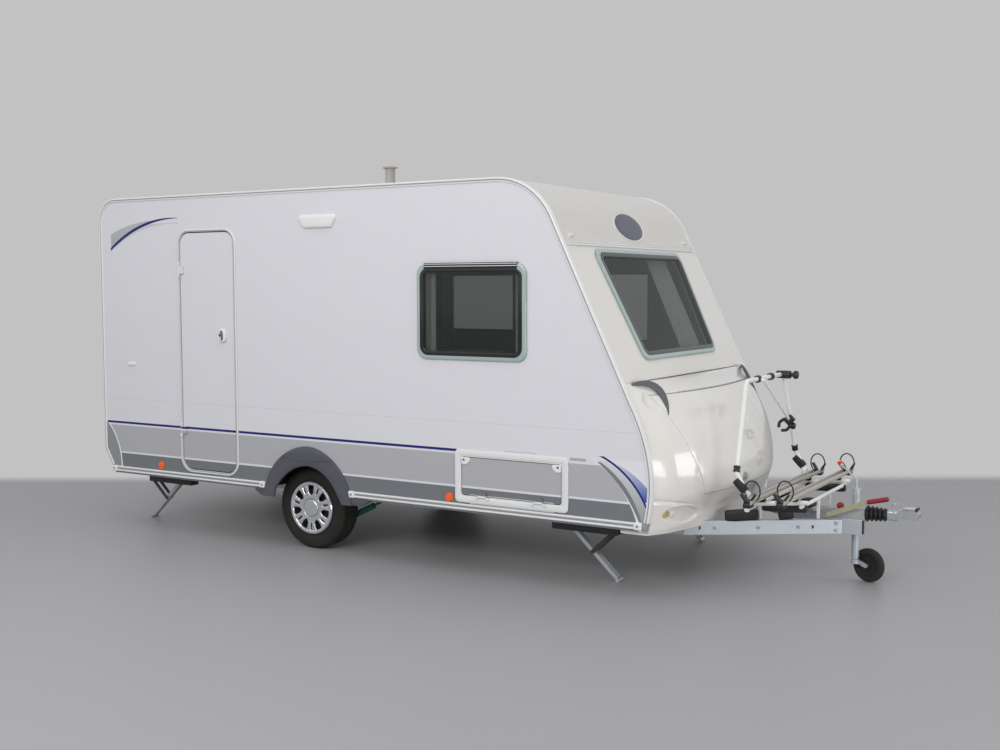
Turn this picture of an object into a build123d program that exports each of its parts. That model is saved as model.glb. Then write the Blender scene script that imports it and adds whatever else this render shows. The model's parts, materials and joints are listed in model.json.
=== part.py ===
from build123d import *
import math
import os

# Travel caravan standing on its wheels, jockey wheel and four corner steadies.
# Millimetres. X runs forward to the hitch, Y to the left side, Z up from the ground.
# Everything is placed with X = 0 at the wheel axle. When a piece is written it moves
# back by MIDDLE, so that the stored part has its origin at the middle of its footprint.

# Driving dimensions of the body
BODY_WIDTH = 2100.0
REAR_X = -2040.0
BODY_BOTTOM = 412.0
ROOF_Z = 2551.0
WALL = 30.0
FLOOR_THICKNESS = 45.0
REAR_CUT_TOP = 599.0
REAR_CUT_IN = 113.0
REAR_CURVE = 170.0
FRONT_CURVE = 442.0
FRONT_LEAN = 25.57
FRONT_KNEE_X = 2536.0
FRONT_KNEE_Z = 1177.0
FRONT_BELLY_X = 2672.0
FRONT_BELLY_Z = 740.0
FRONT_FOOT_X = 2638.0
RIDGE_Z = 1290.0
NOSE_REAR_X = 2460.0
NOSE_SKIN = 22.0

# Driving dimensions of the running gear and the hitch
TYRE_RADIUS = 295.0
TYRE_WIDTH = 185.0
BEAD_RADIUS = 178.0
TRACK = 1750.0
SPINDLE_RADIUS = 16.0
HITCH_X = 3990.0
BEAM_DEPTH = 88.0
MAIN_DEPTH = 84.0
BEAM_STEEL = 4.0
BEAM_FLANGE = 45.0
BEAM_Y = 577.0

# Clearances
MOVE_GAP = 8.0
SKIN_GAP = 0.3
PIN_GAP = 0.05
SEAM = 3.0

HALF = BODY_WIDTH / 2
INNER = HALF - WALL
FLOOR_TOP = BODY_BOTTOM + FLOOR_THICKNESS
REAR_PROUD = 26.0
MIDDLE = (HITCH_X + REAR_X - REAR_PROUD) / 2
BIG = 10 * BODY_WIDTH

os.makedirs("parts", exist_ok=True)


def save(name, *shapes):
    """Writes one node from the solids of the given shapes, moved to the part's origin."""
    solids = [solid for shape in shapes for solid in shape.solids()]
    export_step(Pos(-MIDDLE, 0, 0) * Compound(children=solids), f"parts/{name}.step")


# Shapes


def block(x, y, z):
    """A box from three pairs of limits."""
    centre = [(low + high) / 2 for low, high in (x, y, z)]
    size = [high - low for low, high in (x, y, z)]
    return Pos(*centre) * Box(*size)


def across(sketch, y):
    """A side-view sketch, drawn in X and Z, carried across the body from y[0] to y[1]."""
    plane = Plane(origin=(0, y[1], 0), x_dir=(1, 0, 0), z_dir=(0, -1, 0))
    return extrude(plane * sketch, amount=y[1] - y[0])


def along(sketch, x):
    """A sketch drawn in Y and Z, carried along X."""
    plane = Plane(origin=(x[0], 0, 0), x_dir=(0, 1, 0), z_dir=(1, 0, 0))
    return extrude(plane * sketch, amount=x[1] - x[0])


def upwards(sketch, z):
    """A sketch drawn in X and Y, carried up."""
    return extrude(Pos(0, 0, z[0]) * sketch, amount=z[1] - z[0])


def outline(*points):
    """A closed flat shape. An item of two points is an arc: through the first, to the second."""
    edges = []
    start = points[0]
    for item in (*points[1:], points[0]):
        if isinstance(item[0], tuple):
            edges.append(ThreePointArc(start, *item))
            start = item[1]
        elif item != start:
            edges.append(Line(start, item))
            start = item
    return make_face(edges)


def rounded(u, v, radius, grow=0.0):
    """A round-cornered rectangle from two pairs of limits, grown all round."""
    size = (u[1] - u[0] + 2 * grow, v[1] - v[0] + 2 * grow)
    return Pos((u[0] + u[1]) / 2, (v[0] + v[1]) / 2) * RectangleRounded(*size, radius + grow)


def rod(start, end, radius):
    """A round bar between two points."""
    path = Vector(*end) - Vector(*start)
    return extrude(Plane(origin=start, z_dir=path) * Circle(radius), amount=path.length)


def bent_tube(points, radius, bend):
    """A round bar that follows points, with its corners bent to one radius."""
    line = FilletPolyline(*points, radius=bend)
    return sweep(Plane(origin=line @ 0, z_dir=line % 0) * Circle(radius), path=line)


def turned(profile, centre, axis):
    """A profile of radius and place turned about the Y or X axis through a centre."""
    if axis == "Y":
        plane = Plane(origin=centre, x_dir=(1, 0, 0), z_dir=(0, 0, -1))
        return revolve(plane * profile, axis=Axis(centre, (0, 1, 0)))
    plane = Plane(origin=centre, x_dir=(0, 0, 1), z_dir=(0, -1, 0))
    return revolve(plane * profile, axis=Axis(centre, (1, 0, 0)))


def link(start, end, radius):
    """A flat strap outline between two round ends."""
    a, b = Vector(*start), Vector(*end)
    angle = math.degrees(math.atan2(b.Y - a.Y, b.X - a.X))
    length = (b - a).length
    return Pos((a.X + b.X) / 2, (a.Y + b.Y) / 2) * Rot(0, 0, angle) * SlotCenterToCenter(length, 2 * radius)


def mirrored(shape):
    """The same piece on the other side of the caravan."""
    return mirror(shape, about=Plane.XZ)


# Side outline of the body

LEAN = math.radians(FRONT_LEAN)
HALF_TURN = (math.pi / 2 - LEAN) / 2
CORNER_RUN = FRONT_CURVE * math.tan(HALF_TURN)
ROOF_CORNER_X = FRONT_KNEE_X - (ROOF_Z - FRONT_KNEE_Z) * math.tan(LEAN)
ROOF_END_X = ROOF_CORNER_X - CORNER_RUN
FRONT_TOP = (ROOF_CORNER_X + CORNER_RUN * math.sin(LEAN), ROOF_Z - CORNER_RUN * math.cos(LEAN))
FRONT_CURVE_MID = (
    ROOF_END_X + FRONT_CURVE * math.sin(HALF_TURN),
    ROOF_Z - FRONT_CURVE * (1 - math.cos(HALF_TURN)),
)
EIGHTH = 1 - math.cos(math.pi / 4)
REAR_CURVE_MID = (REAR_X + REAR_CURVE * EIGHTH, ROOF_Z - REAR_CURVE * EIGHTH)
ROOF_SEAM_Z = ROOF_Z - REAR_CURVE

body_profile = outline(
    (REAR_X + REAR_CUT_IN, BODY_BOTTOM),
    (REAR_X, REAR_CUT_TOP),
    (REAR_X, ROOF_SEAM_Z),
    (REAR_CURVE_MID, (REAR_X + REAR_CURVE, ROOF_Z)),
    (ROOF_END_X, ROOF_Z),
    (FRONT_CURVE_MID, FRONT_TOP),
    (FRONT_KNEE_X, FRONT_KNEE_Z),
    ((FRONT_BELLY_X, FRONT_BELLY_Z), (FRONT_FOOT_X, BODY_BOTTOM)),
)


def slope_plane(up, out=0.0):
    """A plane on the leaning front, up the slope from its knee and outwards.
    Its x is Y, its y runs up the slope and it faces out."""
    x = FRONT_KNEE_X - up * math.sin(LEAN) + out * math.cos(LEAN)
    z = FRONT_KNEE_Z + up * math.cos(LEAN) + out * math.sin(LEAN)
    return Plane(origin=(x, 0, z), x_dir=(0, 1, 0), z_dir=(math.cos(LEAN), 0, math.sin(LEAN)))


# Places of the openings in the walls

DOOR_X = (-1165.0, -635.0)
DOOR_Z = (507.0, 2270.0)
DOOR_RADIUS = 85.0
DOOR_THICKNESS = 28.0
DOOR_FRAME = 28.0
SERVICE_X = (1337.0, 2076.0)
SERVICE_Z = (522.0, 776.0)
SERVICE_RADIUS = 22.0
SERVICE_FRAME = 46.0
SERVICE_SLEEVE = 12.0
SERVICE_GAP = 5.0
FRAME_PROUD = 5.0
FLUSH = 2.0

PANE = 18.0
PANE_LAP = 42.0
PANE_RADIUS = 70.0
# side (-1 right, 1 left), x limits, z limits
SIDE_WINDOWS = (
    (-1, (1000.0, 1828.0), (1398.0, 2018.0)),
    (1, (1000.0, 1828.0), (1398.0, 2018.0)),
    (1, (-180.0, 620.0), (1458.0, 2018.0)),
)
REAR_WINDOW_Y = (-620.0, 620.0)
REAR_WINDOW_Z = (1400.0, 1960.0)
FRONT_WINDOW_UP = (250.0, 1030.0)
FRONT_WINDOW_HALF = (612.0, 690.0)
FRONT_WINDOW_RADIUS = 75.0
RAIL_UP = 1076.0
RAIL_HALF = 1000.0
RAIL_DEEP = 24.0
RAIL_PROUD = 14.0

# Wheel arch, from its rear foot over the top to its front foot
ARCH_FOOT_Z = 367.0
ARCH_REAR_X = -401.0
ARCH_REAR_MID = (-228.0, 590.0)
ARCH_TOP = (47.0, 734.0)
ARCH_FRONT_MID = (340.0, 618.0)
ARCH_FRONT_X = 433.0
SPAT_BAND = 72.0
SPAT_LAP = 20.0
SPAT_PROUD = 26.0


def arch_shape(inset):
    """The arch outline pulled in towards the wheel's middle, closed along its foot."""

    def pulled(point):
        away = math.hypot(point[0], point[1] - TYRE_RADIUS)
        keep = (away - inset) / away
        return (point[0] * keep, TYRE_RADIUS + (point[1] - TYRE_RADIUS) * keep)

    return outline(
        (ARCH_REAR_X + inset, ARCH_FOOT_Z),
        (pulled(ARCH_REAR_MID), pulled(ARCH_TOP)),
        (pulled(ARCH_FRONT_MID), (ARCH_FRONT_X - inset, ARCH_FOOT_Z)),
    )


# Side walls


def side_wall(side):
    """One side wall with its windows, doors and wheel arch cut through."""
    y = tuple(sorted((side * HALF, side * INNER)))
    cut = (y[0] - WALL, y[1] + WALL)
    wall = across(body_profile, y) - across(arch_shape(SPAT_BAND - SPAT_LAP), cut)
    for where, x, z in SIDE_WINDOWS:
        if where == side:
            wall -= across(rounded(x, z, PANE_RADIUS, -PANE_LAP), cut)
    if side < 0:
        wall -= across(rounded(DOOR_X, DOOR_Z, DOOR_RADIUS, DOOR_FRAME - MOVE_GAP), cut)
        wall -= across(rounded(SERVICE_X, SERVICE_Z, SERVICE_RADIUS, SERVICE_SLEEVE), cut)
    return wall


save("side_wall_right", side_wall(-1))
save("side_wall_left", side_wall(1))

# Floor, with the wheel boxes that cover its cut-outs

WHEEL_BOX_X = (-400.0, 420.0)
WHEEL_BOX_Y = 720.0
WHEEL_BOX_TOP = 760.0
WHEEL_BOX_SKIN = 15.0

wheel_holes = [
    block(
        (WHEEL_BOX_X[0] + WHEEL_BOX_SKIN, WHEEL_BOX_X[1] - WHEEL_BOX_SKIN),
        tuple(sorted((side * (WHEEL_BOX_Y + WHEEL_BOX_SKIN), side * BODY_WIDTH))),
        (0, WHEEL_BOX_TOP - WHEEL_BOX_SKIN),
    )
    for side in (-1, 1)
]
wheel_boxes = [
    block(
        WHEEL_BOX_X,
        tuple(sorted((side * WHEEL_BOX_Y, side * INNER))),
        (FLOOR_TOP, WHEEL_BOX_TOP),
    )
    for side in (-1, 1)
]
floor = across(body_profile, (-INNER, INNER)) & block(
    (-BIG, NOSE_REAR_X), (-BIG, BIG), (BODY_BOTTOM, FLOOR_TOP)
)
save("floor_panel", floor - wheel_holes[0] - wheel_holes[1])
save("wheel_boxes", *(outer - hole for outer, hole in zip(wheel_boxes, wheel_holes)))

# Rear wall, roof, front cap and front panel: one wall thickness inside the outline

FLUE_X = 600.0
FLUE_Y = -800.0
FLUE_RADIUS = 34.0
FLUE_CAP_RADIUS = 52.0
FLUE_HEIGHT = 140.0
HATCH_X = (-350.0, 150.0)
HATCH_HALF = 250.0
HATCH_LAP = 30.0
HATCH_HEIGHT = 50.0

ring = across(body_profile - offset(body_profile, amount=-WALL), (-INNER, INNER))
up_slope = (-math.sin(LEAN), 0, math.cos(LEAN))
above_rail = extrude(
    Plane(origin=slope_plane(RAIL_UP).origin, x_dir=(0, 1, 0), z_dir=up_slope) * Rectangle(BIG, BIG),
    amount=BIG,
)
window_hole = rounded(REAR_WINDOW_Y, REAR_WINDOW_Z, PANE_RADIUS, -PANE_LAP)
rear_wall = ring & block((-BIG, 0), (-BIG, BIG), (FLOOR_TOP, ROOF_SEAM_Z))
save("rear_wall", rear_wall - along(window_hole, (REAR_X - WALL, REAR_X + 2 * WALL)))
roof = ring & block((-BIG, ROOF_END_X), (-BIG, BIG), (ROOF_SEAM_Z, BIG))
hatch_hole = block(HATCH_X, (-HATCH_HALF, HATCH_HALF), (ROOF_SEAM_Z, BIG))
save("roof_panel", roof - hatch_hole)

front = ring & block((ROOF_END_X, BIG), (-BIG, BIG), (RIDGE_Z, BIG))
save("front_cap", front & above_rail)


def front_window_shape(inset):
    """The front window's outline on the slope: wider at its top, with round corners."""
    low, high = FRONT_WINDOW_UP
    low_half, high_half = FRONT_WINDOW_HALF
    corners = (
        (-low_half + inset, low + inset),
        (low_half - inset, low + inset),
        (high_half - inset, high - inset),
        (-high_half + inset, high - inset),
    )
    shape = outline(*corners)
    return fillet(shape.vertices(), FRONT_WINDOW_RADIUS - inset / 2)


front_hole = extrude(slope_plane(0, WALL) * front_window_shape(PANE_LAP), amount=-3 * WALL)
save("front_panel", front - above_rail - front_hole)

hatch_lid = block(
    (HATCH_X[0] - HATCH_LAP, HATCH_X[1] + HATCH_LAP),
    (-HATCH_HALF - HATCH_LAP, HATCH_HALF + HATCH_LAP),
    (ROOF_Z, ROOF_Z + HATCH_HEIGHT),
)
flue_cap_z = ROOF_Z + FLUE_HEIGHT
flue = rod((FLUE_X, FLUE_Y, ROOF_Z), (FLUE_X, FLUE_Y, flue_cap_z), FLUE_RADIUS)
flue += rod((FLUE_X, FLUE_Y, flue_cap_z - 12), (FLUE_X, FLUE_Y, flue_cap_z), FLUE_CAP_RADIUS)
save("roof_fittings", fillet(hatch_lid.edges().group_by(Axis.Z)[-1], 20), flue)

# Nose moulding with its locker lid: level sections joined by straight faces
# height, centre x, x at the side
NOSE_SECTIONS = (
    (385.0, 2845.0, 2636.0),
    (500.0, 2885.0, 2655.0),
    (620.0, 2935.0, 2671.0),
    (720.0, 2936.0, 2672.0),
    (830.0, 2912.0, 2662.0),
    (970.0, 2866.0, 2622.0),
    (1080.0, 2806.0, 2574.0),
    (1155.0, 2758.0, 2542.0),
    (1225.0, 2672.0, 2512.0),
    (RIDGE_Z, 2520.0, 2482.0),
)
NOSE_BULGE_POWER = 3.0
LID_Z = (600.0, 1212.0)
LID_HALF = (632.0, 850.0)
BEAM_TUNNEL = 690.0


def nose_section(height, centre, side, inset):
    """One level section: straight sides, round corners, one wide arc across the front."""
    half = INNER - SKIN_GAP - inset

    def front_x(share):
        return centre - inset - (centre - side) * share**NOSE_BULGE_POWER

    corner, turn = 0.86, 0.955
    back = NOSE_REAR_X - inset
    shape = outline(
        (back, -half),
        (side - inset, -half),
        ((front_x(turn), -turn * half), (front_x(corner), -corner * half)),
        ((centre - inset, 0.0), (front_x(corner), corner * half)),
        ((front_x(turn), turn * half), (side - inset, half)),
        (back, half),
    )
    return Pos(0, 0, height) * shape


nose_outer = loft([nose_section(*row, 0.0) for row in NOSE_SECTIONS], ruled=True)
nose_inner = loft([nose_section(*row, NOSE_SKIN) for row in NOSE_SECTIONS], ruled=True)
nose_room = block((0, BIG), (-BIG, BIG), (BODY_BOTTOM + NOSE_SKIN, RIDGE_Z - NOSE_SKIN))
nose_shell = nose_outer - (nose_inner & nose_room)
nose_shell -= block((0, BIG), (-BEAM_TUNNEL, BEAM_TUNNEL), (0, BODY_BOTTOM))


def lid_prism(grow):
    """The space that the locker lid takes, seen from the front."""
    shape = outline(
        (-LID_HALF[0] - grow, LID_Z[0] - grow),
        (LID_HALF[0] + grow, LID_Z[0] - grow),
        (LID_HALF[1] + grow, LID_Z[1]),
        (-LID_HALF[1] - grow, LID_Z[1]),
    )
    return along(shape, (NOSE_REAR_X + 40, BIG))


save("nose_moulding", nose_shell - lid_prism(SEAM))
lid = (nose_shell & lid_prism(0)) - block((0, BIG), (-BIG, BIG), (LID_Z[1] - SKIN_GAP, BIG))
save("locker_lid", lid)
save("locker_bulkhead", block((NOSE_REAR_X - WALL, NOSE_REAR_X), (-INNER, INNER), (FLOOR_TOP, RIDGE_Z)))

# Entrance door in its frame. It hangs on two knuckles proud of the rear edge.

HINGE_OUT = 14.0
HINGE_PIN = 4.0
KNUCKLE = 7.0
DOOR_HINGE_X = DOOR_X[0] - MOVE_GAP / 2
DOOR_HINGE_Y = -HALF - HINGE_OUT
DOOR_HINGES_Z = (800.0, 2000.0)
KNUCKLE_LONG = 60.0
LUG_LONG = 22.0
HINGE_PLAY = 2.0

door_leaf = across(
    rounded(DOOR_X, DOOR_Z, DOOR_RADIUS), (-HALF - FLUSH, -HALF - FLUSH + DOOR_THICKNESS)
)
frame_face = rounded(DOOR_X, DOOR_Z, DOOR_RADIUS, DOOR_FRAME) - rounded(DOOR_X, DOOR_Z, DOOR_RADIUS, MOVE_GAP)
frame_sleeve = rounded(DOOR_X, DOOR_Z, DOOR_RADIUS, DOOR_FRAME - MOVE_GAP) - rounded(
    DOOR_X, DOOR_Z, DOOR_RADIUS, MOVE_GAP
)
door_frame = across(frame_face, (-HALF - FRAME_PROUD, -HALF)) + across(frame_sleeve, (-HALF, -INNER))
for z in DOOR_HINGES_Z:
    low, high = z - KNUCKLE_LONG / 2, z + KNUCKLE_LONG / 2
    centre = (DOOR_HINGE_X, DOOR_HINGE_Y)
    knuckle = rod((*centre, low), (*centre, high), KNUCKLE)
    strap = block(
        (DOOR_HINGE_X, DOOR_HINGE_X + 44), (DOOR_HINGE_Y - 5, DOOR_HINGE_Y + 5), (low, high)
    ) + block(
        (DOOR_HINGE_X + 16, DOOR_HINGE_X + 44), (DOOR_HINGE_Y, -HALF - FLUSH), (low, high)
    )
    bore = rod((*centre, low - 1), (*centre, high + 1), HINGE_PIN + PIN_GAP)
    door_leaf += (knuckle + strap) - bore
    ends = (low - HINGE_PLAY - LUG_LONG, high + HINGE_PLAY + LUG_LONG)
    door_frame += rod((*centre, ends[0]), (*centre, ends[1]), HINGE_PIN)
    for start in (ends[0], high + HINGE_PLAY):
        door_frame += block(
            (DOOR_HINGE_X - 18, DOOR_HINGE_X + 4),
            (DOOR_HINGE_Y - 5, -HALF - FRAME_PROUD),
            (start, start + LUG_LONG),
        )
HANDLE_X = -746.0
HANDLE_Z = 1515.0
handle_plate = rounded((HANDLE_X - 28, HANDLE_X + 28), (HANDLE_Z - 45, HANDLE_Z + 45), 18)
door_leaf += across(handle_plate, (-HALF - FLUSH - 12, -HALF - FLUSH))
save("entrance_door", door_leaf)

# Service door, hinged along its lower edge

SERVICE_AXIS_Z = SERVICE_Z[0] - 2.0
SERVICE_AXIS_Y = -HALF - HINGE_OUT
SERVICE_KNUCKLE = 6.0
SERVICE_HINGES_X = (1500.0, 1913.0)
service_leaf = across(
    rounded(SERVICE_X, SERVICE_Z, SERVICE_RADIUS, -SERVICE_GAP),
    (-HALF - FLUSH, -HALF - FLUSH + DOOR_THICKNESS),
)
service_frame = across(
    rounded(SERVICE_X, SERVICE_Z, SERVICE_RADIUS, SERVICE_FRAME) - rounded(SERVICE_X, SERVICE_Z, SERVICE_RADIUS),
    (-HALF - FRAME_PROUD, -HALF),
) + across(
    rounded(SERVICE_X, SERVICE_Z, SERVICE_RADIUS, SERVICE_SLEEVE) - rounded(SERVICE_X, SERVICE_Z, SERVICE_RADIUS),
    (-HALF, -INNER),
)
for x in SERVICE_HINGES_X:
    low, high = x - KNUCKLE_LONG / 2, x + KNUCKLE_LONG / 2
    centre = (SERVICE_AXIS_Y, SERVICE_AXIS_Z)
    knuckle = rod((low, *centre), (high, *centre), SERVICE_KNUCKLE)
    strap = block(
        (low, high), (SERVICE_AXIS_Y - 4, SERVICE_AXIS_Y + 4), (SERVICE_AXIS_Z, SERVICE_AXIS_Z + 34)
    ) + block((low, high), (SERVICE_AXIS_Y, -HALF - FLUSH), (SERVICE_AXIS_Z + 14, SERVICE_AXIS_Z + 34))
    bore = rod((low - 1, *centre), (high + 1, *centre), HINGE_PIN + PIN_GAP)
    service_leaf += (knuckle + strap) - bore
    ends = (low - HINGE_PLAY - LUG_LONG, high + HINGE_PLAY + LUG_LONG)
    service_frame += rod((ends[0], *centre), (ends[1], *centre), HINGE_PIN)
    for start in (ends[0], high + HINGE_PLAY):
        service_frame += block(
            (start, start + LUG_LONG),
            (SERVICE_AXIS_Y - 5, -HALF - FRAME_PROUD),
            (SERVICE_AXIS_Z - 16, SERVICE_AXIS_Z + 4),
        )
save("service_door", service_leaf)
save("side_frames", door_frame, service_frame)

# Window panes and their hinge rails, edge trims and skirt rails

TRIM_PROUD = 6.0
TRIM_DEEP = 26.0
TRIM_OVER = 5.0
SKIRT_Z = (425.0, 466.0)
SKIRT_PROUD = 12.0
SKIRT_REAR_X = -1925.0
SKIRT_FRONT_X = 2590.0

panes = []
trims = []
for side, x, z in SIDE_WINDOWS:
    panes.append(across(rounded(x, z, PANE_RADIUS), tuple(sorted((side * HALF, side * (HALF + PANE))))))
    rail_y = tuple(sorted((side * HALF, side * (HALF + RAIL_PROUD))))
    trims.append(block((x[0] - 4, x[1] + 4), rail_y, (z[1], z[1] + RAIL_DEEP)))
panes.append(along(rounded(REAR_WINDOW_Y, REAR_WINDOW_Z, PANE_RADIUS), (REAR_X - PANE, REAR_X)))
trims.append(
    block(
        (REAR_X - RAIL_PROUD, REAR_X), REAR_WINDOW_Y, (REAR_WINDOW_Z[1], REAR_WINDOW_Z[1] + RAIL_DEEP)
    )
)
panes.append(extrude(slope_plane(0) * front_window_shape(0), amount=PANE))
trims.append(extrude(slope_plane(RAIL_UP) * Rectangle(2 * RAIL_HALF, RAIL_DEEP), amount=RAIL_PROUD))
save("windows", *panes)
save("window_rails", *trims)

over = offset(body_profile, amount=TRIM_OVER)
edge_trim = across(over - offset(body_profile, amount=-TRIM_DEEP), (-HALF - TRIM_PROUD, -HALF))
edge_trim += across(over - body_profile, (-HALF - TRIM_PROUD, -INNER))
edge_trim -= block((-BIG, BIG), (-BIG, BIG), (-BIG, SKIRT_Z[1]))
skirts = [
    block((SKIRT_REAR_X, ARCH_REAR_X), (-HALF - SKIRT_PROUD, -HALF), SKIRT_Z),
    block((ARCH_FRONT_X, SKIRT_FRONT_X), (-HALF - SKIRT_PROUD, -HALF), SKIRT_Z),
]
skirts = [skirt - across(arch_shape(0), (-2 * HALF, 0)) for skirt in skirts]
side_trims = [edge_trim, *skirts]
save("body_trims", *side_trims, *(mirrored(trim) for trim in side_trims))

spat = across(arch_shape(0) - arch_shape(SPAT_BAND), (-HALF - SPAT_PROUD, -HALF))
save("wheel_spats", spat, mirrored(spat))

# Lamps and reflectors

LAMP_Y = (770.0, 960.0)
LAMP_Z = (650.0, 900.0)
AWNING_X = (-23.0, 345.0)
AWNING_Z = (2275.0, 2368.0)
AWNING_PROUD = 22.0
REFLECTOR_RADIUS = 30.0
REFLECTOR_PROUD = 10.0
REFLECTORS = ((-1410.0, 506.0), (1242.0, 499.0))
MARKER_UP = 1120.0
MARKER_Y = 900.0

lamps = [block((REAR_X - REAR_PROUD, REAR_X), side, LAMP_Z) for side in (LAMP_Y, (-LAMP_Y[1], -LAMP_Y[0]))]
lamps = [fillet(lamp.edges().group_by(Axis.X)[0], 12) for lamp in lamps]
lamps.append(
    across(
        outline(
            (AWNING_X[0], AWNING_Z[1]),
            (AWNING_X[0] + 60, AWNING_Z[0]),
            (AWNING_X[1] - 60, AWNING_Z[0]),
            (AWNING_X[1], AWNING_Z[1]),
        ),
        (-HALF - AWNING_PROUD, -HALF),
    )
)
for x, z in REFLECTORS:
    disc = rod((x, -HALF - REFLECTOR_PROUD, z), (x, -HALF, z), REFLECTOR_RADIUS)
    lamps += [disc, mirrored(disc)]
for side in (-1, 1):
    lamps.append(
        extrude(
            slope_plane(MARKER_UP) * (Pos(side * MARKER_Y, 0) * RectangleRounded(60, 22, 8)), amount=15
        )
    )
save("body_lamps", *lamps)

# Grab handles: two boomerangs on the nose corners, two plain bars on the rear

FRONT_HANDLE = ((2500.0, -965.0, 1270.0), (2676.0, -800.0, 1205.0), (2676.0, -835.0, 1098.0))
REAR_HANDLE_Y = 880.0
REAR_HANDLE_Z = (1120.0, 1300.0)
front_handle = bent_tube(FRONT_HANDLE, 14, 60) - nose_outer
rear_handle = bent_tube(
    (
        (REAR_X, REAR_HANDLE_Y, REAR_HANDLE_Z[0]),
        (REAR_X - 17, REAR_HANDLE_Y, REAR_HANDLE_Z[0] + 20),
        (REAR_X - 17, REAR_HANDLE_Y, REAR_HANDLE_Z[1] - 20),
        (REAR_X, REAR_HANDLE_Y, REAR_HANDLE_Z[1]),
    ),
    8,
    10,
)
rear_handle -= block((REAR_X, REAR_X + WALL), (-BIG, BIG), (0, BIG))
save("grab_handles", front_handle, mirrored(front_handle), rear_handle, mirrored(rear_handle))

# Chassis: two straight members under the floor, two cranked drawbar members, cross members

MAIN_X = (-1600.0, 2650.0)
DRAW_FRONT = (3535.0, 60.0)
DRAW_BEND = (2700.0, BEAM_Y + 29.0)
DRAW_REAR = (1500.0, BEAM_Y + 29.0)
CROSS_X = (-1540.0, 1460.0, 2600.0)
AXLE_X = 160.0
AXLE_Z = 330.0
AXLE_ACROSS = 95.0


def strip(points, width):
    """A strip in plan: the points, and the same points moved towards the middle line."""
    lines = []
    for start, end in zip(points, points[1:]):
        run = Vector(*end) - Vector(*start)
        inwards = Vector(run.Y, -run.X).normalized() * width
        if inwards.Y > 0:
            inwards = -inwards
        lines.append((Vector(*start) + inwards, run))
    inner = [lines[0][0]]
    for (here, run), (there, turn) in zip(lines, lines[1:]):
        gap = there - here
        share = (gap.X * turn.Y - gap.Y * turn.X) / (run.X * turn.Y - run.Y * turn.X)
        inner.append(here + run * share)
    inner.append(lines[-1][0] + lines[-1][1])
    return Polygon(*points, *[(point.X, point.Y) for point in reversed(inner)], align=None)


def channel_beam(points, depth):
    """A channel beam that follows points in plan, its web outside and its open side inwards."""
    low = BODY_BOTTOM - depth
    beam = upwards(strip(points, BEAM_STEEL), (low, BODY_BOTTOM))
    beam += upwards(strip(points, BEAM_FLANGE), (BODY_BOTTOM - BEAM_STEEL, BODY_BOTTOM))
    return beam + upwards(strip(points, BEAM_FLANGE), (low, low + BEAM_STEEL))


MAIN_Y = DRAW_REAR[1] - BEAM_STEEL - 2.0
main_beam = channel_beam(((MAIN_X[1], MAIN_Y), (MAIN_X[0], MAIN_Y)), MAIN_DEPTH)
main_beam -= block((AXLE_X - 70, AXLE_X + 70), (0, BIG), (0, AXLE_Z + AXLE_ACROSS / 2 + MOVE_GAP))
draw_beam = channel_beam((DRAW_FRONT, DRAW_BEND, DRAW_REAR), BEAM_DEPTH)
beam = main_beam + draw_beam
save("chassis_beams", mirrored(beam), beam)

web_in = MAIN_Y - BEAM_STEEL
cross_z = (BODY_BOTTOM - MAIN_DEPTH + BEAM_STEEL, BODY_BOTTOM - BEAM_STEEL)
save("cross_members", *(block((x - 20, x + 20), (-web_in, web_in), cross_z) for x in CROSS_X))

# Rubber suspension axle: six-sided tube, brackets on the main members, trailing arms

ARM_Y = (703.0, 738.0)
PLATE_Y = 746.0
PLATE_RADIUS = 108.0
SHOCK_Y = 750.0
SHOCK_LOW = (150.0, 193.0)
SHOCK_MID = (395.0, 314.0)
SHOCK_TOP = (494.0, 363.0)
SHOCK_RADIUS = 22.0
EYE_RADIUS = 16.0
EYE_PIN = 7.0

hexagon = across(
    Pos(AXLE_X, AXLE_Z) * RegularPolygon(AXLE_ACROSS / 2, 6, major_radius=False), (-ARM_Y[0], ARM_Y[0])
)
axle_bracket = block((AXLE_X - 90, AXLE_X + 90), (MAIN_Y, MAIN_Y + 8), (AXLE_Z - 30, BODY_BOTTOM - 8))
axle_bracket += block((AXLE_X - 90, AXLE_X + 90), (MAIN_Y, MAIN_Y + 45), (BODY_BOTTOM - 12, BODY_BOTTOM))
save("axle_tube", hexagon + axle_bracket + mirrored(axle_bracket))

hub_y = TRACK / 2
arm = across(link((AXLE_X, AXLE_Z), (0, TYRE_RADIUS), 46), (-ARM_Y[1], -ARM_Y[0]))
arm += across(
    outline(
        (50, 300),
        (AXLE_X + 30, AXLE_Z),
        (SHOCK_LOW[0] + 22, SHOCK_LOW[1] - 18),
        (SHOCK_LOW[0] - 22, SHOCK_LOW[1] - 18),
    ),
    (-ARM_Y[0] - 12, -ARM_Y[0]),
)
arm += rod((0, -ARM_Y[1], TYRE_RADIUS), (0, -PLATE_Y, TYRE_RADIUS), PLATE_RADIUS)
arm += rod((0, -ARM_Y[0], TYRE_RADIUS), (0, -hub_y - 30, TYRE_RADIUS), SPINDLE_RADIUS)
arm += rod(
    (SHOCK_LOW[0], -ARM_Y[0], SHOCK_LOW[1]), (SHOCK_LOW[0], -SHOCK_Y - 18, SHOCK_LOW[1]), EYE_PIN
)
save("trailing_arms", arm, mirrored(arm))

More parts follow.
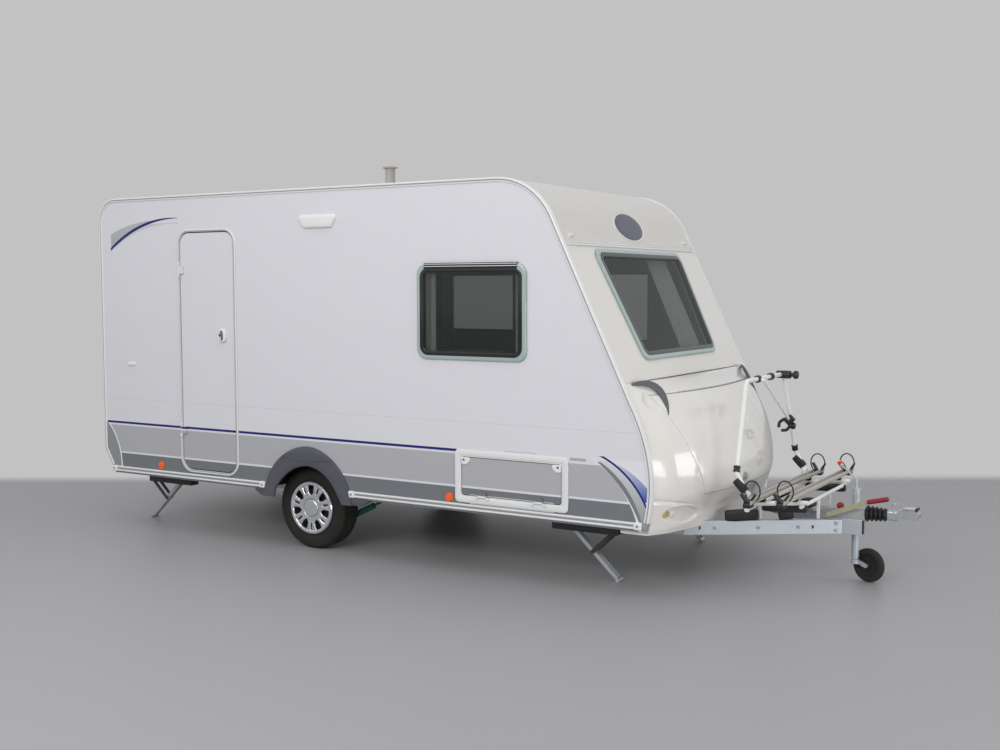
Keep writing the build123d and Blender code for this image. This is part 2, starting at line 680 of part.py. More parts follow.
shock = rod((SHOCK_LOW[0], -SHOCK_Y, SHOCK_LOW[1]), (SHOCK_MID[0], -SHOCK_Y, SHOCK_MID[1]), SHOCK_RADIUS)
shock += rod((SHOCK_MID[0], -SHOCK_Y, SHOCK_MID[1]), (SHOCK_TOP[0], -SHOCK_Y, SHOCK_TOP[1]), 9)
for place in (SHOCK_LOW, SHOCK_TOP):
    shock += rod((place[0], -SHOCK_Y - 14, place[1]), (place[0], -SHOCK_Y + 14, place[1]), EYE_RADIUS)
for place in (SHOCK_LOW, SHOCK_TOP):
    ends = ((place[0], -SHOCK_Y - 40, place[1]), (place[0], -SHOCK_Y + 40, place[1]))
    shock -= rod(*ends, EYE_PIN + PIN_GAP)
save("shock_absorbers", shock, mirrored(shock))
shock_bracket = block(
    (SHOCK_TOP[0] - 16, SHOCK_TOP[0] + 16), (-SHOCK_Y + 22, -MAIN_Y), (SHOCK_TOP[1] - 16, SHOCK_TOP[1] + 16)
) + rod((SHOCK_TOP[0], -SHOCK_Y + 22, SHOCK_TOP[1]), (SHOCK_TOP[0], -SHOCK_Y - 18, SHOCK_TOP[1]), EYE_PIN)
save("shock_brackets", shock_bracket, mirrored(shock_bracket))

# Road wheels. A profile is radius and distance outwards from the middle of the tyre.

HALF_TREAD = TYRE_WIDTH / 2
LIP_RADIUS = 190.0
LIP = 88.0
RIM_STEEL = 4.0
RIM_WELL = 165.0
DRUM_RADIUS = 114.0
HUB_RADIUS = 34.0
DISC_OUT = 30.0
COVER_RADIUS = 191.0
COVER_OUT = 14.0

tyre_profile = Polygon(
    (BEAD_RADIUS + SKIN_GAP, -HALF_TREAD + 12),
    (BEAD_RADIUS + SKIN_GAP, HALF_TREAD - 12),
    (LIP_RADIUS + 4, HALF_TREAD - 12),
    (LIP_RADIUS + 25, HALF_TREAD - 2),
    (LIP_RADIUS + 50, HALF_TREAD),
    (TYRE_RADIUS - 18, HALF_TREAD - 7),
    (TYRE_RADIUS - 4, HALF_TREAD - 18),
    (TYRE_RADIUS, HALF_TREAD - 30),
    (TYRE_RADIUS, -HALF_TREAD + 30),
    (TYRE_RADIUS - 4, -HALF_TREAD + 18),
    (TYRE_RADIUS - 18, -HALF_TREAD + 7),
    (LIP_RADIUS + 50, -HALF_TREAD),
    (LIP_RADIUS + 25, -HALF_TREAD + 2),
    (LIP_RADIUS + 4, -HALF_TREAD + 12),
    align=None,
)
rim_profile = Polygon(
    (LIP_RADIUS, -LIP),
    (LIP_RADIUS, -LIP + RIM_STEEL),
    (BEAD_RADIUS, -LIP + RIM_STEEL),
    (BEAD_RADIUS, LIP - RIM_STEEL),
    (LIP_RADIUS, LIP - RIM_STEEL),
    (LIP_RADIUS, LIP),
    (RIM_WELL, LIP),
    (RIM_WELL, DISC_OUT + 8),
    (SPINDLE_RADIUS + PIN_GAP, DISC_OUT + 8),
    (SPINDLE_RADIUS + PIN_GAP, -HALF_TREAD - 20),
    (DRUM_RADIUS, -HALF_TREAD - 20),
    (DRUM_RADIUS, -HALF_TREAD + 40),
    (HUB_RADIUS + 30, -HALF_TREAD + 45),
    (HUB_RADIUS + 30, DISC_OUT),
    (RIM_WELL, DISC_OUT),
    (RIM_WELL, -LIP),
    align=None,
)
cover_profile = Polygon(
    (0, LIP + SKIN_GAP + 6),
    (60, LIP + SKIN_GAP + 6),
    (75, LIP + SKIN_GAP),
    (COVER_RADIUS, LIP + SKIN_GAP),
    (COVER_RADIUS, LIP + 6),
    (COVER_RADIUS - 14, LIP + COVER_OUT),
    (80, LIP + COVER_OUT),
    (60, LIP + COVER_OUT + 6),
    (0, LIP + COVER_OUT + 6),
    align=None,
)
for name, profile in (("tyre", tyre_profile), ("rim", rim_profile), ("wheel_cover", cover_profile)):
    piece = turned(profile, (0, -hub_y, TYRE_RADIUS), "Y")
    save(f"{name}_right", piece)
    save(f"{name}_left", mirrored(piece))

# Corner steadies: a brace hangs from the bracket, a leg hangs from the brace, and the leg's
# top end runs along the screw. Drawn for the right front corner with the brace pivot at X = 0.

STEADY_Y = 700.0
STEADY_FRONT_X = 2275.0
STEADY_REAR_X = -1860.0
SCREW_Z = 315.0
BRACE = 203.0
LEG = 444.3
LEG_ANGLE = math.radians(43.0)
STOWED_ANGLE = math.radians(5.0)
CHANNEL_HALF = 40.0
CHANNEL_TOP = 339.0
CHANNEL_LOW = 300.0
STEADY_STEEL = 4.0
BRACE_HALF = 30.0
LEG_HALF = 20.0
PIN = 6.0
SCREW_RADIUS = 7.0
FOOT_RADIUS = 12.0
FOOT_HALF = 35.0

stowed_reach = 2 * BRACE * math.cos(STOWED_ANGLE)
leg_top = (-2 * BRACE * math.cos(LEG_ANGLE), SCREW_Z)
leg_mid = (-BRACE * math.cos(LEG_ANGLE), SCREW_Z - BRACE * math.sin(LEG_ANGLE))
foot = (leg_top[0] + LEG * math.cos(LEG_ANGLE), SCREW_Z - LEG * math.sin(LEG_ANGLE))
channel_x = (-stowed_reach - 34, 30)


def steady_y(low, high):
    """Limits across the steady, as distances from its own middle line."""
    return (-STEADY_Y + low, -STEADY_Y + high)


def cross_pin(place, low, high, radius):
    """A pin across the steady at a place in X and Z."""
    return rod((place[0], -STEADY_Y + low, place[1]), (place[0], -STEADY_Y + high, place[1]), radius)


bracket = block(channel_x, steady_y(-CHANNEL_HALF, CHANNEL_HALF), (CHANNEL_LOW, CHANNEL_TOP))
bracket -= block(
    (channel_x[0] + STEADY_STEEL, channel_x[1] - STEADY_STEEL),
    steady_y(-CHANNEL_HALF + STEADY_STEEL, CHANNEL_HALF - STEADY_STEEL),
    (0, CHANNEL_TOP - STEADY_STEEL),
)
for x in channel_x:
    start = min(max(x - 20, channel_x[0]), channel_x[1] - 40)
    bracket += block(
        (start, start + 40), steady_y(-CHANNEL_HALF, CHANNEL_HALF), (CHANNEL_TOP, BODY_BOTTOM)
    )
bracket += rod((channel_x[0], -STEADY_Y, SCREW_Z), (channel_x[1] + 18, -STEADY_Y, SCREW_Z), SCREW_RADIUS)
bracket += rod((channel_x[1], -STEADY_Y, SCREW_Z), (channel_x[1] + 22, -STEADY_Y, SCREW_Z), 10)
for side in (-1, 1):
    reach = sorted((side * (CHANNEL_HALF - STEADY_STEEL), side * (BRACE_HALF - 8)))
    bracket += cross_pin((0, SCREW_Z), *reach, PIN)

brace = None
for side in (-1, 1):
    reach = sorted((side * BRACE_HALF, side * (BRACE_HALF - STEADY_STEEL)))
    plate = across(link((0, SCREW_Z), leg_mid, 14), steady_y(*reach))
    plate -= cross_pin((0, SCREW_Z), -CHANNEL_HALF, CHANNEL_HALF, PIN + PIN_GAP)
    brace = plate if brace is None else brace + plate
brace += cross_pin(leg_mid, -BRACE_HALF - 2, BRACE_HALF + 2, PIN)

leg = None
wall_end = (
    leg_top[0] + (LEG - 22) * math.cos(LEG_ANGLE),
    SCREW_Z - (LEG - 22) * math.sin(LEG_ANGLE),
)
for side in (-1, 1):
    reach = sorted((side * LEG_HALF, side * (LEG_HALF - STEADY_STEEL)))
    wall = across(link(leg_top, wall_end, 13), steady_y(*reach))
    wall += cross_pin(leg_top, *sorted((side * LEG_HALF, side * (BRACE_HALF + 1))), PIN)
    leg = wall if leg is None else leg + wall
leg_plane = Plane(
    origin=(leg_top[0], -STEADY_Y + LEG_HALF, SCREW_Z),
    x_dir=(math.cos(LEG_ANGLE), 0, -math.sin(LEG_ANGLE)),
    z_dir=(0, -1, 0),
)
leg += extrude(leg_plane * (Pos((30 + LEG - 22) / 2, -11.5) * Rectangle(LEG - 52, 3)), amount=2 * LEG_HALF)
leg -= cross_pin(leg_mid, -CHANNEL_HALF, CHANNEL_HALF, PIN + PIN_GAP)
leg += cross_pin(foot, -FOOT_HALF, FOOT_HALF, FOOT_RADIUS)

corners = (("front", STEADY_FRONT_X), ("rear", STEADY_REAR_X))
brackets = []
for end, x in corners:
    for side in ("right", "left"):
        placed = []
        for piece in (bracket, brace, leg):
            if end == "rear":
                piece = mirror(piece, about=Plane.YZ)
            piece = Pos(x, 0, 0) * piece
            placed.append(mirrored(piece) if side == "left" else piece)
        brackets.append(placed[0])
        save(f"steady_brace_{end}_{side}", placed[1])
        save(f"steady_leg_{end}_{side}", placed[2])
save("steady_brackets", *brackets)

# Overrun housing, bellows and coupling head

SHAFT_Z = 457.0
SHAFT_RADIUS = 22.0
HOUSING_HALF = 38.0
BELLOWS_X = (3665.0, 3795.0)
CHEEK_X = (3535.0, 3655.0)
BALL_RADIUS = 25.0
BALL_X = 3940.0
BALL_Z = 462.0

housing = across(
    outline(
        (3371, BODY_BOTTOM + 8),
        (3545, BODY_BOTTOM + 8),
        (3545, 392),
        (BELLOWS_X[0] - SKIN_GAP, 392),
        (BELLOWS_X[0] - SKIN_GAP, 486),
        (3560, 484),
        (3371, 468),
    ),
    (-HOUSING_HALF, HOUSING_HALF),
)
housing += block((3371, 3545), (-60, 60), (BODY_BOTTOM, BODY_BOTTOM + 8))
housing += block(CHEEK_X, (-60, -54), (BODY_BOTTOM - BEAM_DEPTH, BODY_BOTTOM + 8))
housing += block((3560, 3620), (-57, -HOUSING_HALF + 2), (BODY_BOTTOM - 12, BODY_BOTTOM + 8))
housing -= rod((3550, 0, SHAFT_Z), (3700, 0, SHAFT_Z), SHAFT_RADIUS + SKIN_GAP)
BRAKE_X = 3450.0
BRAKE_Z = 440.0
BRAKE_Y = (-82.0, -68.0)
BRAKE_GRIP = (3695.0, 540.0)
BRAKE_TIP = (3815.0, 569.0)
BRAKE_PIN = 8.0
housing += rod((BRAKE_X, 0, BRAKE_Z), (BRAKE_X, BRAKE_Y[0] - 4, BRAKE_Z), BRAKE_PIN)
CLAMP_Z = (438.0, 480.0)
JOCKEY_X = 3585.0
JOCKEY_Y = 70.0
JOCKEY_OUTER = 24.0
JOCKEY_INNER = 20.0
CLAMP_RING = 31.5
ring_gap = 0.1
clamp = rod((JOCKEY_X, JOCKEY_Y, CLAMP_Z[0]), (JOCKEY_X, JOCKEY_Y, CLAMP_Z[1]), CLAMP_RING)
clamp += block((JOCKEY_X - 20, JOCKEY_X + 20), (HOUSING_HALF, JOCKEY_Y), CLAMP_Z)
clamp += rod((JOCKEY_X, JOCKEY_Y, 459), (JOCKEY_X, JOCKEY_Y + 70, 459), 6)
clamp -= rod(
    (JOCKEY_X, JOCKEY_Y, 0), (JOCKEY_X, JOCKEY_Y, 1000), JOCKEY_OUTER + ring_gap
)
save("jockey_clamp", clamp)
save("overrun_housing", housing)

bellows_ribs = 5
pitch = (BELLOWS_X[1] - BELLOWS_X[0]) / bellows_ribs
bellows_points = [(SHAFT_RADIUS + 1, BELLOWS_X[0])]
for rib in range(bellows_ribs):
    start = BELLOWS_X[0] + rib * pitch
    size = 52 - 3 * rib
    bellows_points += [(size - 12, start), (size, start + 0.35 * pitch), (size, start + 0.65 * pitch)]
bellows_points += [(28, BELLOWS_X[1]), (SHAFT_RADIUS + 1, BELLOWS_X[1])]
bellows = revolve(
    Plane(origin=(0, 0, SHAFT_Z), x_dir=(0, 0, 1), z_dir=(0, 1, 0)) * Polygon(*bellows_points, align=None),
    axis=Axis((0, 0, SHAFT_Z), (1, 0, 0)),
)
save("overrun_bellows", bellows)

head = across(
    outline(
        (3862, 443),
        (3862, 490),
        (3880, 501),
        (3955, 501),
        ((3980, 494), (HITCH_X, 476)),
        ((HITCH_X - 4, 454), (3965, 443)),
    ),
    (-44, 44),
)
head += rod((3554, 0, SHAFT_Z), (3870, 0, SHAFT_Z), SHAFT_RADIUS)
head -= Pos(BALL_X, 0, BALL_Z) * Sphere(BALL_RADIUS + SKIN_GAP)
head -= rod((BALL_X, 0, 430), (BALL_X, 0, BALL_Z), BALL_RADIUS + SKIN_GAP)
save("coupling_head", head)

brake_line = Vector(*BRAKE_GRIP) - Vector(BRAKE_X, BRAKE_Z)
lever = across(link((BRAKE_X, BRAKE_Z), BRAKE_GRIP, 16), BRAKE_Y)
lever -= rod((BRAKE_X, -10, BRAKE_Z), (BRAKE_X, -100, BRAKE_Z), BRAKE_PIN + PIN_GAP)
brake_mid = sum(BRAKE_Y) / 2
lever += rod((BRAKE_GRIP[0], brake_mid, BRAKE_GRIP[1]), (BRAKE_TIP[0], brake_mid, BRAKE_TIP[1]), 14)
save("handbrake_lever", lever)

# Jockey wheel: tube in its clamp, screw-driven inner tube, swivelling arm, wheel

TUBE_Z = (155.0, 590.0)
INNER_Z = (143.0, 480.0)
SWIVEL_ANGLE = -19.4
JOCKEY_TRAIL = 65.0
JOCKEY_WHEEL = 107.0
JOCKEY_TREAD = 50.0
JOCKEY_SIDE = 29.0
JOCKEY_PIN = 8.0
SWIVEL_PIN = 12.0
CRANK = ((0.0, 0.0, 580.0), (0.0, 0.0, 650.0), (-95.0, 0.0, 738.0))

here = (JOCKEY_X, JOCKEY_Y)
outer = rod((*here, TUBE_Z[0]), (*here, TUBE_Z[1]), JOCKEY_OUTER)
outer -= rod((*here, 0), (*here, TUBE_Z[1] - 40), JOCKEY_INNER + ring_gap)
outer += rod((*here, TUBE_Z[1]), (*here, TUBE_Z[1] + 8), JOCKEY_OUTER + 3)
outer += Pos(*here, 0) * bent_tube(CRANK, 6, 20)
outer += Pos(*here, 0) * rod((-95, 0, 732), (-112, 0, 764), 14)
save("jockey_outer_tube", outer)
inner = rod((*here, INNER_Z[0]), (*here, INNER_Z[1]), JOCKEY_INNER)
inner -= rod((*here, 0), (*here, INNER_Z[0] + 48), SWIVEL_PIN + PIN_GAP)
save("jockey_inner_tube", inner)

place = Pos(*here, 0) * Rot(0, 0, SWIVEL_ANGLE)
fork = rod((0, 0, 116), (0, 0, INNER_Z[0] - 1), 27) + rod((0, 0, 116), (0, 0, INNER_Z[0] + 45), SWIVEL_PIN)
fork += across(link((0, 129), (JOCKEY_TRAIL, JOCKEY_WHEEL), 13), (JOCKEY_SIDE - 17, JOCKEY_SIDE - 5))
fork += rod(
    (JOCKEY_TRAIL, JOCKEY_SIDE - 17, JOCKEY_WHEEL),
    (JOCKEY_TRAIL, JOCKEY_SIDE + JOCKEY_TREAD + 5, JOCKEY_WHEEL),
    JOCKEY_PIN,
)
save("jockey_fork", place * fork)
half = JOCKEY_TREAD / 2
jockey_profile = Polygon(
    (JOCKEY_PIN + PIN_GAP, -half),
    (JOCKEY_PIN + PIN_GAP, half),
    (24, half),
    (26, 6),
    (66, 6),
    (70, half - 4),
    (JOCKEY_WHEEL - 12, half),
    (JOCKEY_WHEEL, half - 12),
    (JOCKEY_WHEEL, -half + 12),
    (JOCKEY_WHEEL - 12, -half),
    (70, -half + 4),
    (66, -6),
    (26, -6),
    (24, -half),
    align=None,
)
wheel = turned(jockey_profile, (JOCKEY_TRAIL, JOCKEY_SIDE + half, JOCKEY_WHEEL), "Y")
save("jockey_wheel", place * wheel)

# Cycle carrier on the drawbar: fixed base and a hoop that folds forwards

BASE_Y = 472.0
BASE_START = (3075.0, 536.0)
BASE_END = (3438.0, 573.0)
BASE_TUBE = 15.0
TRAYS = ((3155.0, 576.0), (3356.0, 592.0))
TRAY_HALF = 755.0
TRAY_WIDE = 60.0
TRAY_DEEP = 28.0
HOOP_PIVOT = (3098.0, 612.0)
HOOP_PLATE_Y = (556.0, 562.0)
HOOP_FOOT_Y = 583.0
HOOP_COLLAR = (3028.0, 582.0, 740.0)
HOOP_TOP = (3006.0, 368.0, 1281.0)
HOOP_TUBE = 15.0
SUPPORTS = ((3090.0, 568.0), (3400.0, 487.0))

base = None
for side in (-1, 1):
    tube = rod(
        (BASE_START[0], side * BASE_Y, BASE_START[1]), (BASE_END[0], side * BASE_Y, BASE_END[1]), BASE_TUBE
    )
    plate = across(
        link((SUPPORTS[0][0], BASE_START[1] - 21), HOOP_PIVOT, 17),
        tuple(sorted(side * y for y in HOOP_PLATE_Y)),
    )
    plate += rod(
        (HOOP_PIVOT[0], side * HOOP_PLATE_Y[0], HOOP_PIVOT[1]),
        (HOOP_PIVOT[0], side * (HOOP_FOOT_Y + 20), HOOP_PIVOT[1]),
        PIN,
    )
    base = tube + plate if base is None else base + tube + plate
rise = (BASE_END[1] - BASE_START[1]) / (BASE_END[0] - BASE_START[0])
spread = (DRAW_BEND[1] - DRAW_FRONT[1]) / (DRAW_FRONT[0] - DRAW_BEND[0])
for x, reach in SUPPORTS:
    z = BASE_START[1] + (x - BASE_START[0]) * rise - BASE_TUBE - 8
    base += rod((x, -reach, z), (x, reach, z), 12)
    beam_y = DRAW_FRONT[1] + (DRAW_FRONT[0] - x) * spread
    for side in (-1, 1):
        y = tuple(sorted((side * (beam_y - 34), side * (beam_y - 18))))
        base += block((x - 10, x + 10), y, (BODY_BOTTOM, z))
for x, z in TRAYS:
    half = TRAY_WIDE / 2
    tray = block((x - half, x + half), (-TRAY_HALF, TRAY_HALF), (z, z + TRAY_DEEP))
    base += tray - block((x - half + 3, x + half - 3), (-BIG, BIG), (z + 3, BIG))
    for side in (-1, 1):
        y = tuple(sorted((side * (BASE_Y - 14), side * (BASE_Y + 14))))
        base += block((x - 18, x + 18), y, (z - 26, z + 1))
save("carrier_base", base)

hoop_half = ((HOOP_PIVOT[0], HOOP_FOOT_Y, HOOP_PIVOT[1]), HOOP_COLLAR, HOOP_TOP)
hoop_path = [(x, -y, z) for x, y, z in hoop_half] + list(reversed(hoop_half))
hoop = bent_tube(hoop_path, HOOP_TUBE, 50)
for side in (-1, 1):
    ends = (side * (HOOP_FOOT_Y - 16), side * (HOOP_FOOT_Y + 16))
    hoop += rod((HOOP_PIVOT[0], ends[0], HOOP_PIVOT[1]), (HOOP_PIVOT[0], ends[1], HOOP_PIVOT[1]), 19)
for side in (-1, 1):
    ends = (side * (HOOP_FOOT_Y - 60), side * (HOOP_FOOT_Y + 90))
    hoop -= rod(
        (HOOP_PIVOT[0], ends[0], HOOP_PIVOT[1]), (HOOP_PIVOT[0], ends[1], HOOP_PIVOT[1]), PIN + PIN_GAP
    )
save("carrier_hoop", hoop)

ARM_START = (3010.0, -150.0, 1281.0)
ARM_END = (3042.0, 400.0, 966.0)
SECOND_Y = 312.0
arms = rod((HOOP_TOP[0], ARM_START[1] - 20, HOOP_TOP[2]), (HOOP_TOP[0], ARM_START[1] + 20, HOOP_TOP[2]), 24)
arms += rod((HOOP_TOP[0] + 32, ARM_START[1], HOOP_TOP[2]), (HOOP_TOP[0], ARM_START[1], HOOP_TOP[2]), 12)
arms += rod((HOOP_TOP[0] + 32, ARM_START[1], HOOP_TOP[2]), ARM_END, 10)
arms += block((3020, 3064), (370, 430), (930, 990))
second = rod((HOOP_TOP[0], SECOND_Y - 22, HOOP_TOP[2]), (HOOP_TOP[0], SECOND_Y + 22, HOOP_TOP[2]), 26)
second += rod((HOOP_TOP[0], SECOND_Y, HOOP_TOP[2]), (HOOP_TOP[0] + 120, SECOND_Y, HOOP_TOP[2]), 14)
save("carrier_arms", arms - hoop, second - hoop)

# Cabin: kitchen, wardrobe, benches, bed, upper lockers, cushions and curtains

BENCH_TOP = 760.0
SEAT_GAP = 15.0


def clear_of_wheels(shape):
    """A fitted unit cut back where the wheel boxes stand."""
    for side in (-1, 1):
        shape -= block(
            (WHEEL_BOX_X[0] - SEAT_GAP, WHEEL_BOX_X[1] + SEAT_GAP),
            tuple(sorted((side * (WHEEL_BOX_Y - SEAT_GAP), side * BODY_WIDTH))),
            (0, WHEEL_BOX_TOP + SEAT_GAP),
        )
    return shape


UNIT_BOARD = 18.0


def hollow(shape, x, y, z):
    """A fitted unit with the room inside it taken out."""
    return shape - block(x, y, z)


bench_y = (-INNER, -INNER + 560)
bench_room_x = (900 + UNIT_BOARD, 2400 - UNIT_BOARD)
bench_room_z = (FLOOR_TOP + UNIT_BOARD, BENCH_TOP - UNIT_BOARD)
bench = hollow(
    block((900, 2400), bench_y, (FLOOR_TOP, BENCH_TOP)),
    bench_room_x,
    (bench_y[0], bench_y[1] - UNIT_BOARD),
    bench_room_z,
)
benches = [
    bench,
    mirrored(bench),
    block((-1900, -1230), (-INNER, INNER), (FLOOR_TOP, BENCH_TOP)),
    clear_of_wheels(block((-250, 650), (INNER - 540, INNER), (FLOOR_TOP, 1350))),
    clear_of_wheels(block((-560, 0), (-INNER, -INNER + 520), (FLOOR_TOP, 2400))),
    block((850, 1880), (-INNER, -INNER + 260), (2090, 2400)),
    block((-250, 1880), (INNER - 260, INNER), (2090, 2400)),
    block((-1980, -1250), (INNER - 260, INNER), (2060, 2370)),
]
save("cabin_furniture", *benches)

CUSHION = 120.0
cushions = [
    block((905, 2395), (-INNER + 4, -INNER + 556), (BENCH_TOP, BENCH_TOP + CUSHION)),
    block((905, 2395), (INNER - 556, INNER - 4), (BENCH_TOP, BENCH_TOP + CUSHION)),
    block((905, 2395), (-INNER + 4, -INNER + 124), (BENCH_TOP + CUSHION, 1260)),
    block((905, 2395), (INNER - 124, INNER - 4), (BENCH_TOP + CUSHION, 1260)),
    block((-1895, -1235), (-INNER + 4, INNER - 4), (BENCH_TOP, BENCH_TOP + CUSHION)),
]
save("seat_cushions", *cushions)

CURTAIN = 40.0
CURTAIN_WIDE = 130.0
CURTAIN_LOW = 1362.0
curtains = []
for side, x, z in SIDE_WINDOWS:
    y = tuple(sorted((side * (INNER - SKIN_GAP), side * (INNER - CURTAIN))))
    for start in (x[0] - 20, x[1] + 20 - CURTAIN_WIDE):
        curtains.append(block((start, start + CURTAIN_WIDE), y, (CURTAIN_LOW, z[1] + 30)))
rear_curtain = block(
    (REAR_X + WALL + SKIN_GAP, REAR_X + WALL + CURTAIN),
    (REAR_WINDOW_Y[1] + 30 - CURTAIN_WIDE, REAR_WINDOW_Y[1] + 30),
    (CURTAIN_LOW, REAR_WINDOW_Z[1] + 30),
)
curtains += [rear_curtain, mirrored(rear_curtain)]
left_drape = Polygon((130, 170), (500, 170), (530, 1040), (200, 1040), align=None)
right_drape = Polygon((-500, 170), (-560, 1040), (-700, 1040), (-610, 170), align=None)
for drape in (left_drape, right_drape):
    curtains.append(extrude(slope_plane(0, -WALL - CURTAIN) * drape, amount=CURTAIN - SKIN_GAP))
save("curtains", *curtains)
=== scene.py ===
"""Looks for a family touring caravan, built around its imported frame.

Lengths are metres. X runs forward to the coupling, Y to the left side, Z up. Sizes of the
body are written from the wheel axle, as a builder would mark them out, and `framed` moves
them into the frame.
"""

import json
import logging
import math
from dataclasses import dataclass
from enum import Enum

import bmesh
import bpy
import numpy as np
from mathutils import Matrix, Vector

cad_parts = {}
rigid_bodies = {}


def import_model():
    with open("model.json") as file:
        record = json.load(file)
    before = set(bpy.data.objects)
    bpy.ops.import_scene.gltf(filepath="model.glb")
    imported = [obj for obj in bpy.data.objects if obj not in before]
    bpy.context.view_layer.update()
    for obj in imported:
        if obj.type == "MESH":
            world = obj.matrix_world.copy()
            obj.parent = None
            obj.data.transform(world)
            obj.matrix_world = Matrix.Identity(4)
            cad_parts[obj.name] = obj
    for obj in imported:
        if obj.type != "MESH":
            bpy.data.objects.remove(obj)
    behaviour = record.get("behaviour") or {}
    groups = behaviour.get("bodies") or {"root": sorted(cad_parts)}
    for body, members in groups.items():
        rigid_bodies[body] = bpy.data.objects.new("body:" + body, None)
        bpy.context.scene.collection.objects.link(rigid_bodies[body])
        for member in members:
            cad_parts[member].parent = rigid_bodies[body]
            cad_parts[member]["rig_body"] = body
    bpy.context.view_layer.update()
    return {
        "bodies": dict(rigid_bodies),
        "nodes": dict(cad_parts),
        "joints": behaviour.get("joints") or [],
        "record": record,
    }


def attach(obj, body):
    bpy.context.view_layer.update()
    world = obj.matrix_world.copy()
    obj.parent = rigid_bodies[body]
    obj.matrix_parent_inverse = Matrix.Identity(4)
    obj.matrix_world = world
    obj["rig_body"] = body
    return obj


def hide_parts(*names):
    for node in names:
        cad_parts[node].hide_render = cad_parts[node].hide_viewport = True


log = logging.getLogger("caravan")
MM = 0.001
Span = tuple[float, float]
Spot = tuple[float, float, float]
Piece = bpy.types.Object
Socket = bpy.types.NodeSocket
Way = np.ndarray | tuple


# Frame and shared sizes


@dataclass(frozen=True)
class Sizes:
    """The body sizes that several sub-assemblies share, measured from the wheel axle."""

    half_width: float = 1.050
    wall: float = 0.030
    rear: float = -2.040
    roof: float = 2.551
    bottom: float = 0.412
    rear_cut_top: float = 0.599
    rear_cut_in: float = 0.113
    rear_curve: float = 0.170
    front_curve: float = 0.442
    lean: float = math.radians(25.57)
    knee: Span = (2.536, 1.177)
    belly: Span = (2.672, 0.740)
    foot: Span = (2.638, 0.412)
    hub_out: float = 0.875
    middle: float = 0.962

    @property
    def inner(self) -> float:
        """Half the width between the side walls."""
        return self.half_width - self.wall


SIZE = Sizes()


def framed(points: np.ndarray) -> np.ndarray:
    """Returns points written from the axle, (..., 3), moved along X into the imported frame."""
    moved = np.array(points, float)
    moved[..., 0] -= SIZE.middle
    return moved


# Mesh builders


def placed(name: str, mesh: bpy.types.Mesh) -> Piece:
    """Links a mesh into the scene as an object of the given name."""
    made = bpy.data.objects.new(name, mesh)
    bpy.context.scene.collection.objects.link(made)
    return made


def make_object(name: str, points: np.ndarray, faces: list, sharp: float = 35.0) -> Piece:
    """Makes a mesh object from points and faces, smooth apart from its sharp edges.

    Args:
        name: The object's name.
        points: Vertex places from the axle, (n, 3).
        faces: Vertex indices of each face.
        sharp: The angle in degrees past which an edge stays crisp.

    Returns:
        The linked object, with its normals facing out.
    """
    mesh = bpy.data.meshes.new(name)
    mesh.from_pydata(framed(points).tolist(), [], faces)
    tidy = bmesh.new()
    tidy.from_mesh(mesh)
    bmesh.ops.remove_doubles(tidy, verts=tidy.verts, dist=1e-6)
    bmesh.ops.recalc_face_normals(tidy, faces=tidy.faces)
    tidy.to_mesh(mesh)
    tidy.free()
    mesh.shade_smooth()
    mesh.set_sharp_from_angle(angle=math.radians(sharp))
    return placed(name, mesh)


def face_out(piece: Piece, axis: int, sign: int) -> None:
    """Drops the loose points of an open skin and makes it look along an axis.

    Args:
        piece: The skin.
        axis: 0, 1 or 2 for X, Y or Z.
        sign: 1 to look forward along the axis, -1 to look back.
    """
    skin = bmesh.new()
    skin.from_mesh(piece.data)
    bmesh.ops.delete(skin, geom=[vert for vert in skin.verts if not vert.link_faces], context="VERTS")
    if sign * sum(face.normal[axis] * face.calc_area() for face in skin.faces) < 0:
        bmesh.ops.reverse_faces(skin, faces=skin.faces)
    skin.to_mesh(piece.data)
    skin.free()


def thicken(piece: Piece, name: str, thickness: float) -> bpy.types.Modifier:
    """Gives an open skin a wall on its inner side."""
    wall = piece.modifiers.new(name, "SOLIDIFY")
    wall.thickness, wall.offset = thickness, -1
    return wall


def soften(piece: Piece, name: str, width: float, segments: int, angle: float) -> bpy.types.Modifier:
    """Rounds the edges of a piece that turn by more than an angle in degrees."""
    bevel = piece.modifiers.new(name, "BEVEL")
    bevel.width, bevel.segments = width, segments
    bevel.limit_method, bevel.angle_limit = "ANGLE", math.radians(angle)
    return bevel


def around(count: int) -> np.ndarray:
    """Angles evenly round a circle; the last one stops short of the first."""
    return np.linspace(0, 2 * math.pi, count, endpoint=False)


def grid_faces(rows: int, columns: int, start: int = 0, wrap: bool = False) -> list:
    """Quads between neighbouring rows of a grid; wrap also joins the last column to the first."""
    across = np.arange(columns if wrap else columns - 1)
    here, there = across, (across + 1) % columns
    base = start + columns * np.arange(rows - 1)[:, None]
    quads = np.stack([base + here, base + there, base + columns + there, base + columns + here], -1)
    return quads.reshape(-1, 4).tolist()


def stack_rings(name: str, rings: np.ndarray, caps: bool = True, sharp: float = 35.0) -> Piece:
    """Joins closed rings, each (n, 3), into a skin and closes its two ends.

    Args:
        name: The object's name.
        rings: Ring points, (rings, n, 3), all with one count.
        caps: Whether the first and last rings are filled.
        sharp: The angle in degrees past which an edge stays crisp.
    """
    rings = np.asarray(rings, float)
    count, around = rings.shape[:2]
    faces = grid_faces(count, around, wrap=True)
    if caps:
        faces.append(list(range(around - 1, -1, -1)))
        faces.append(list(range((count - 1) * around, count * around)))
    return make_object(name, rings.reshape(-1, 3), faces, sharp)


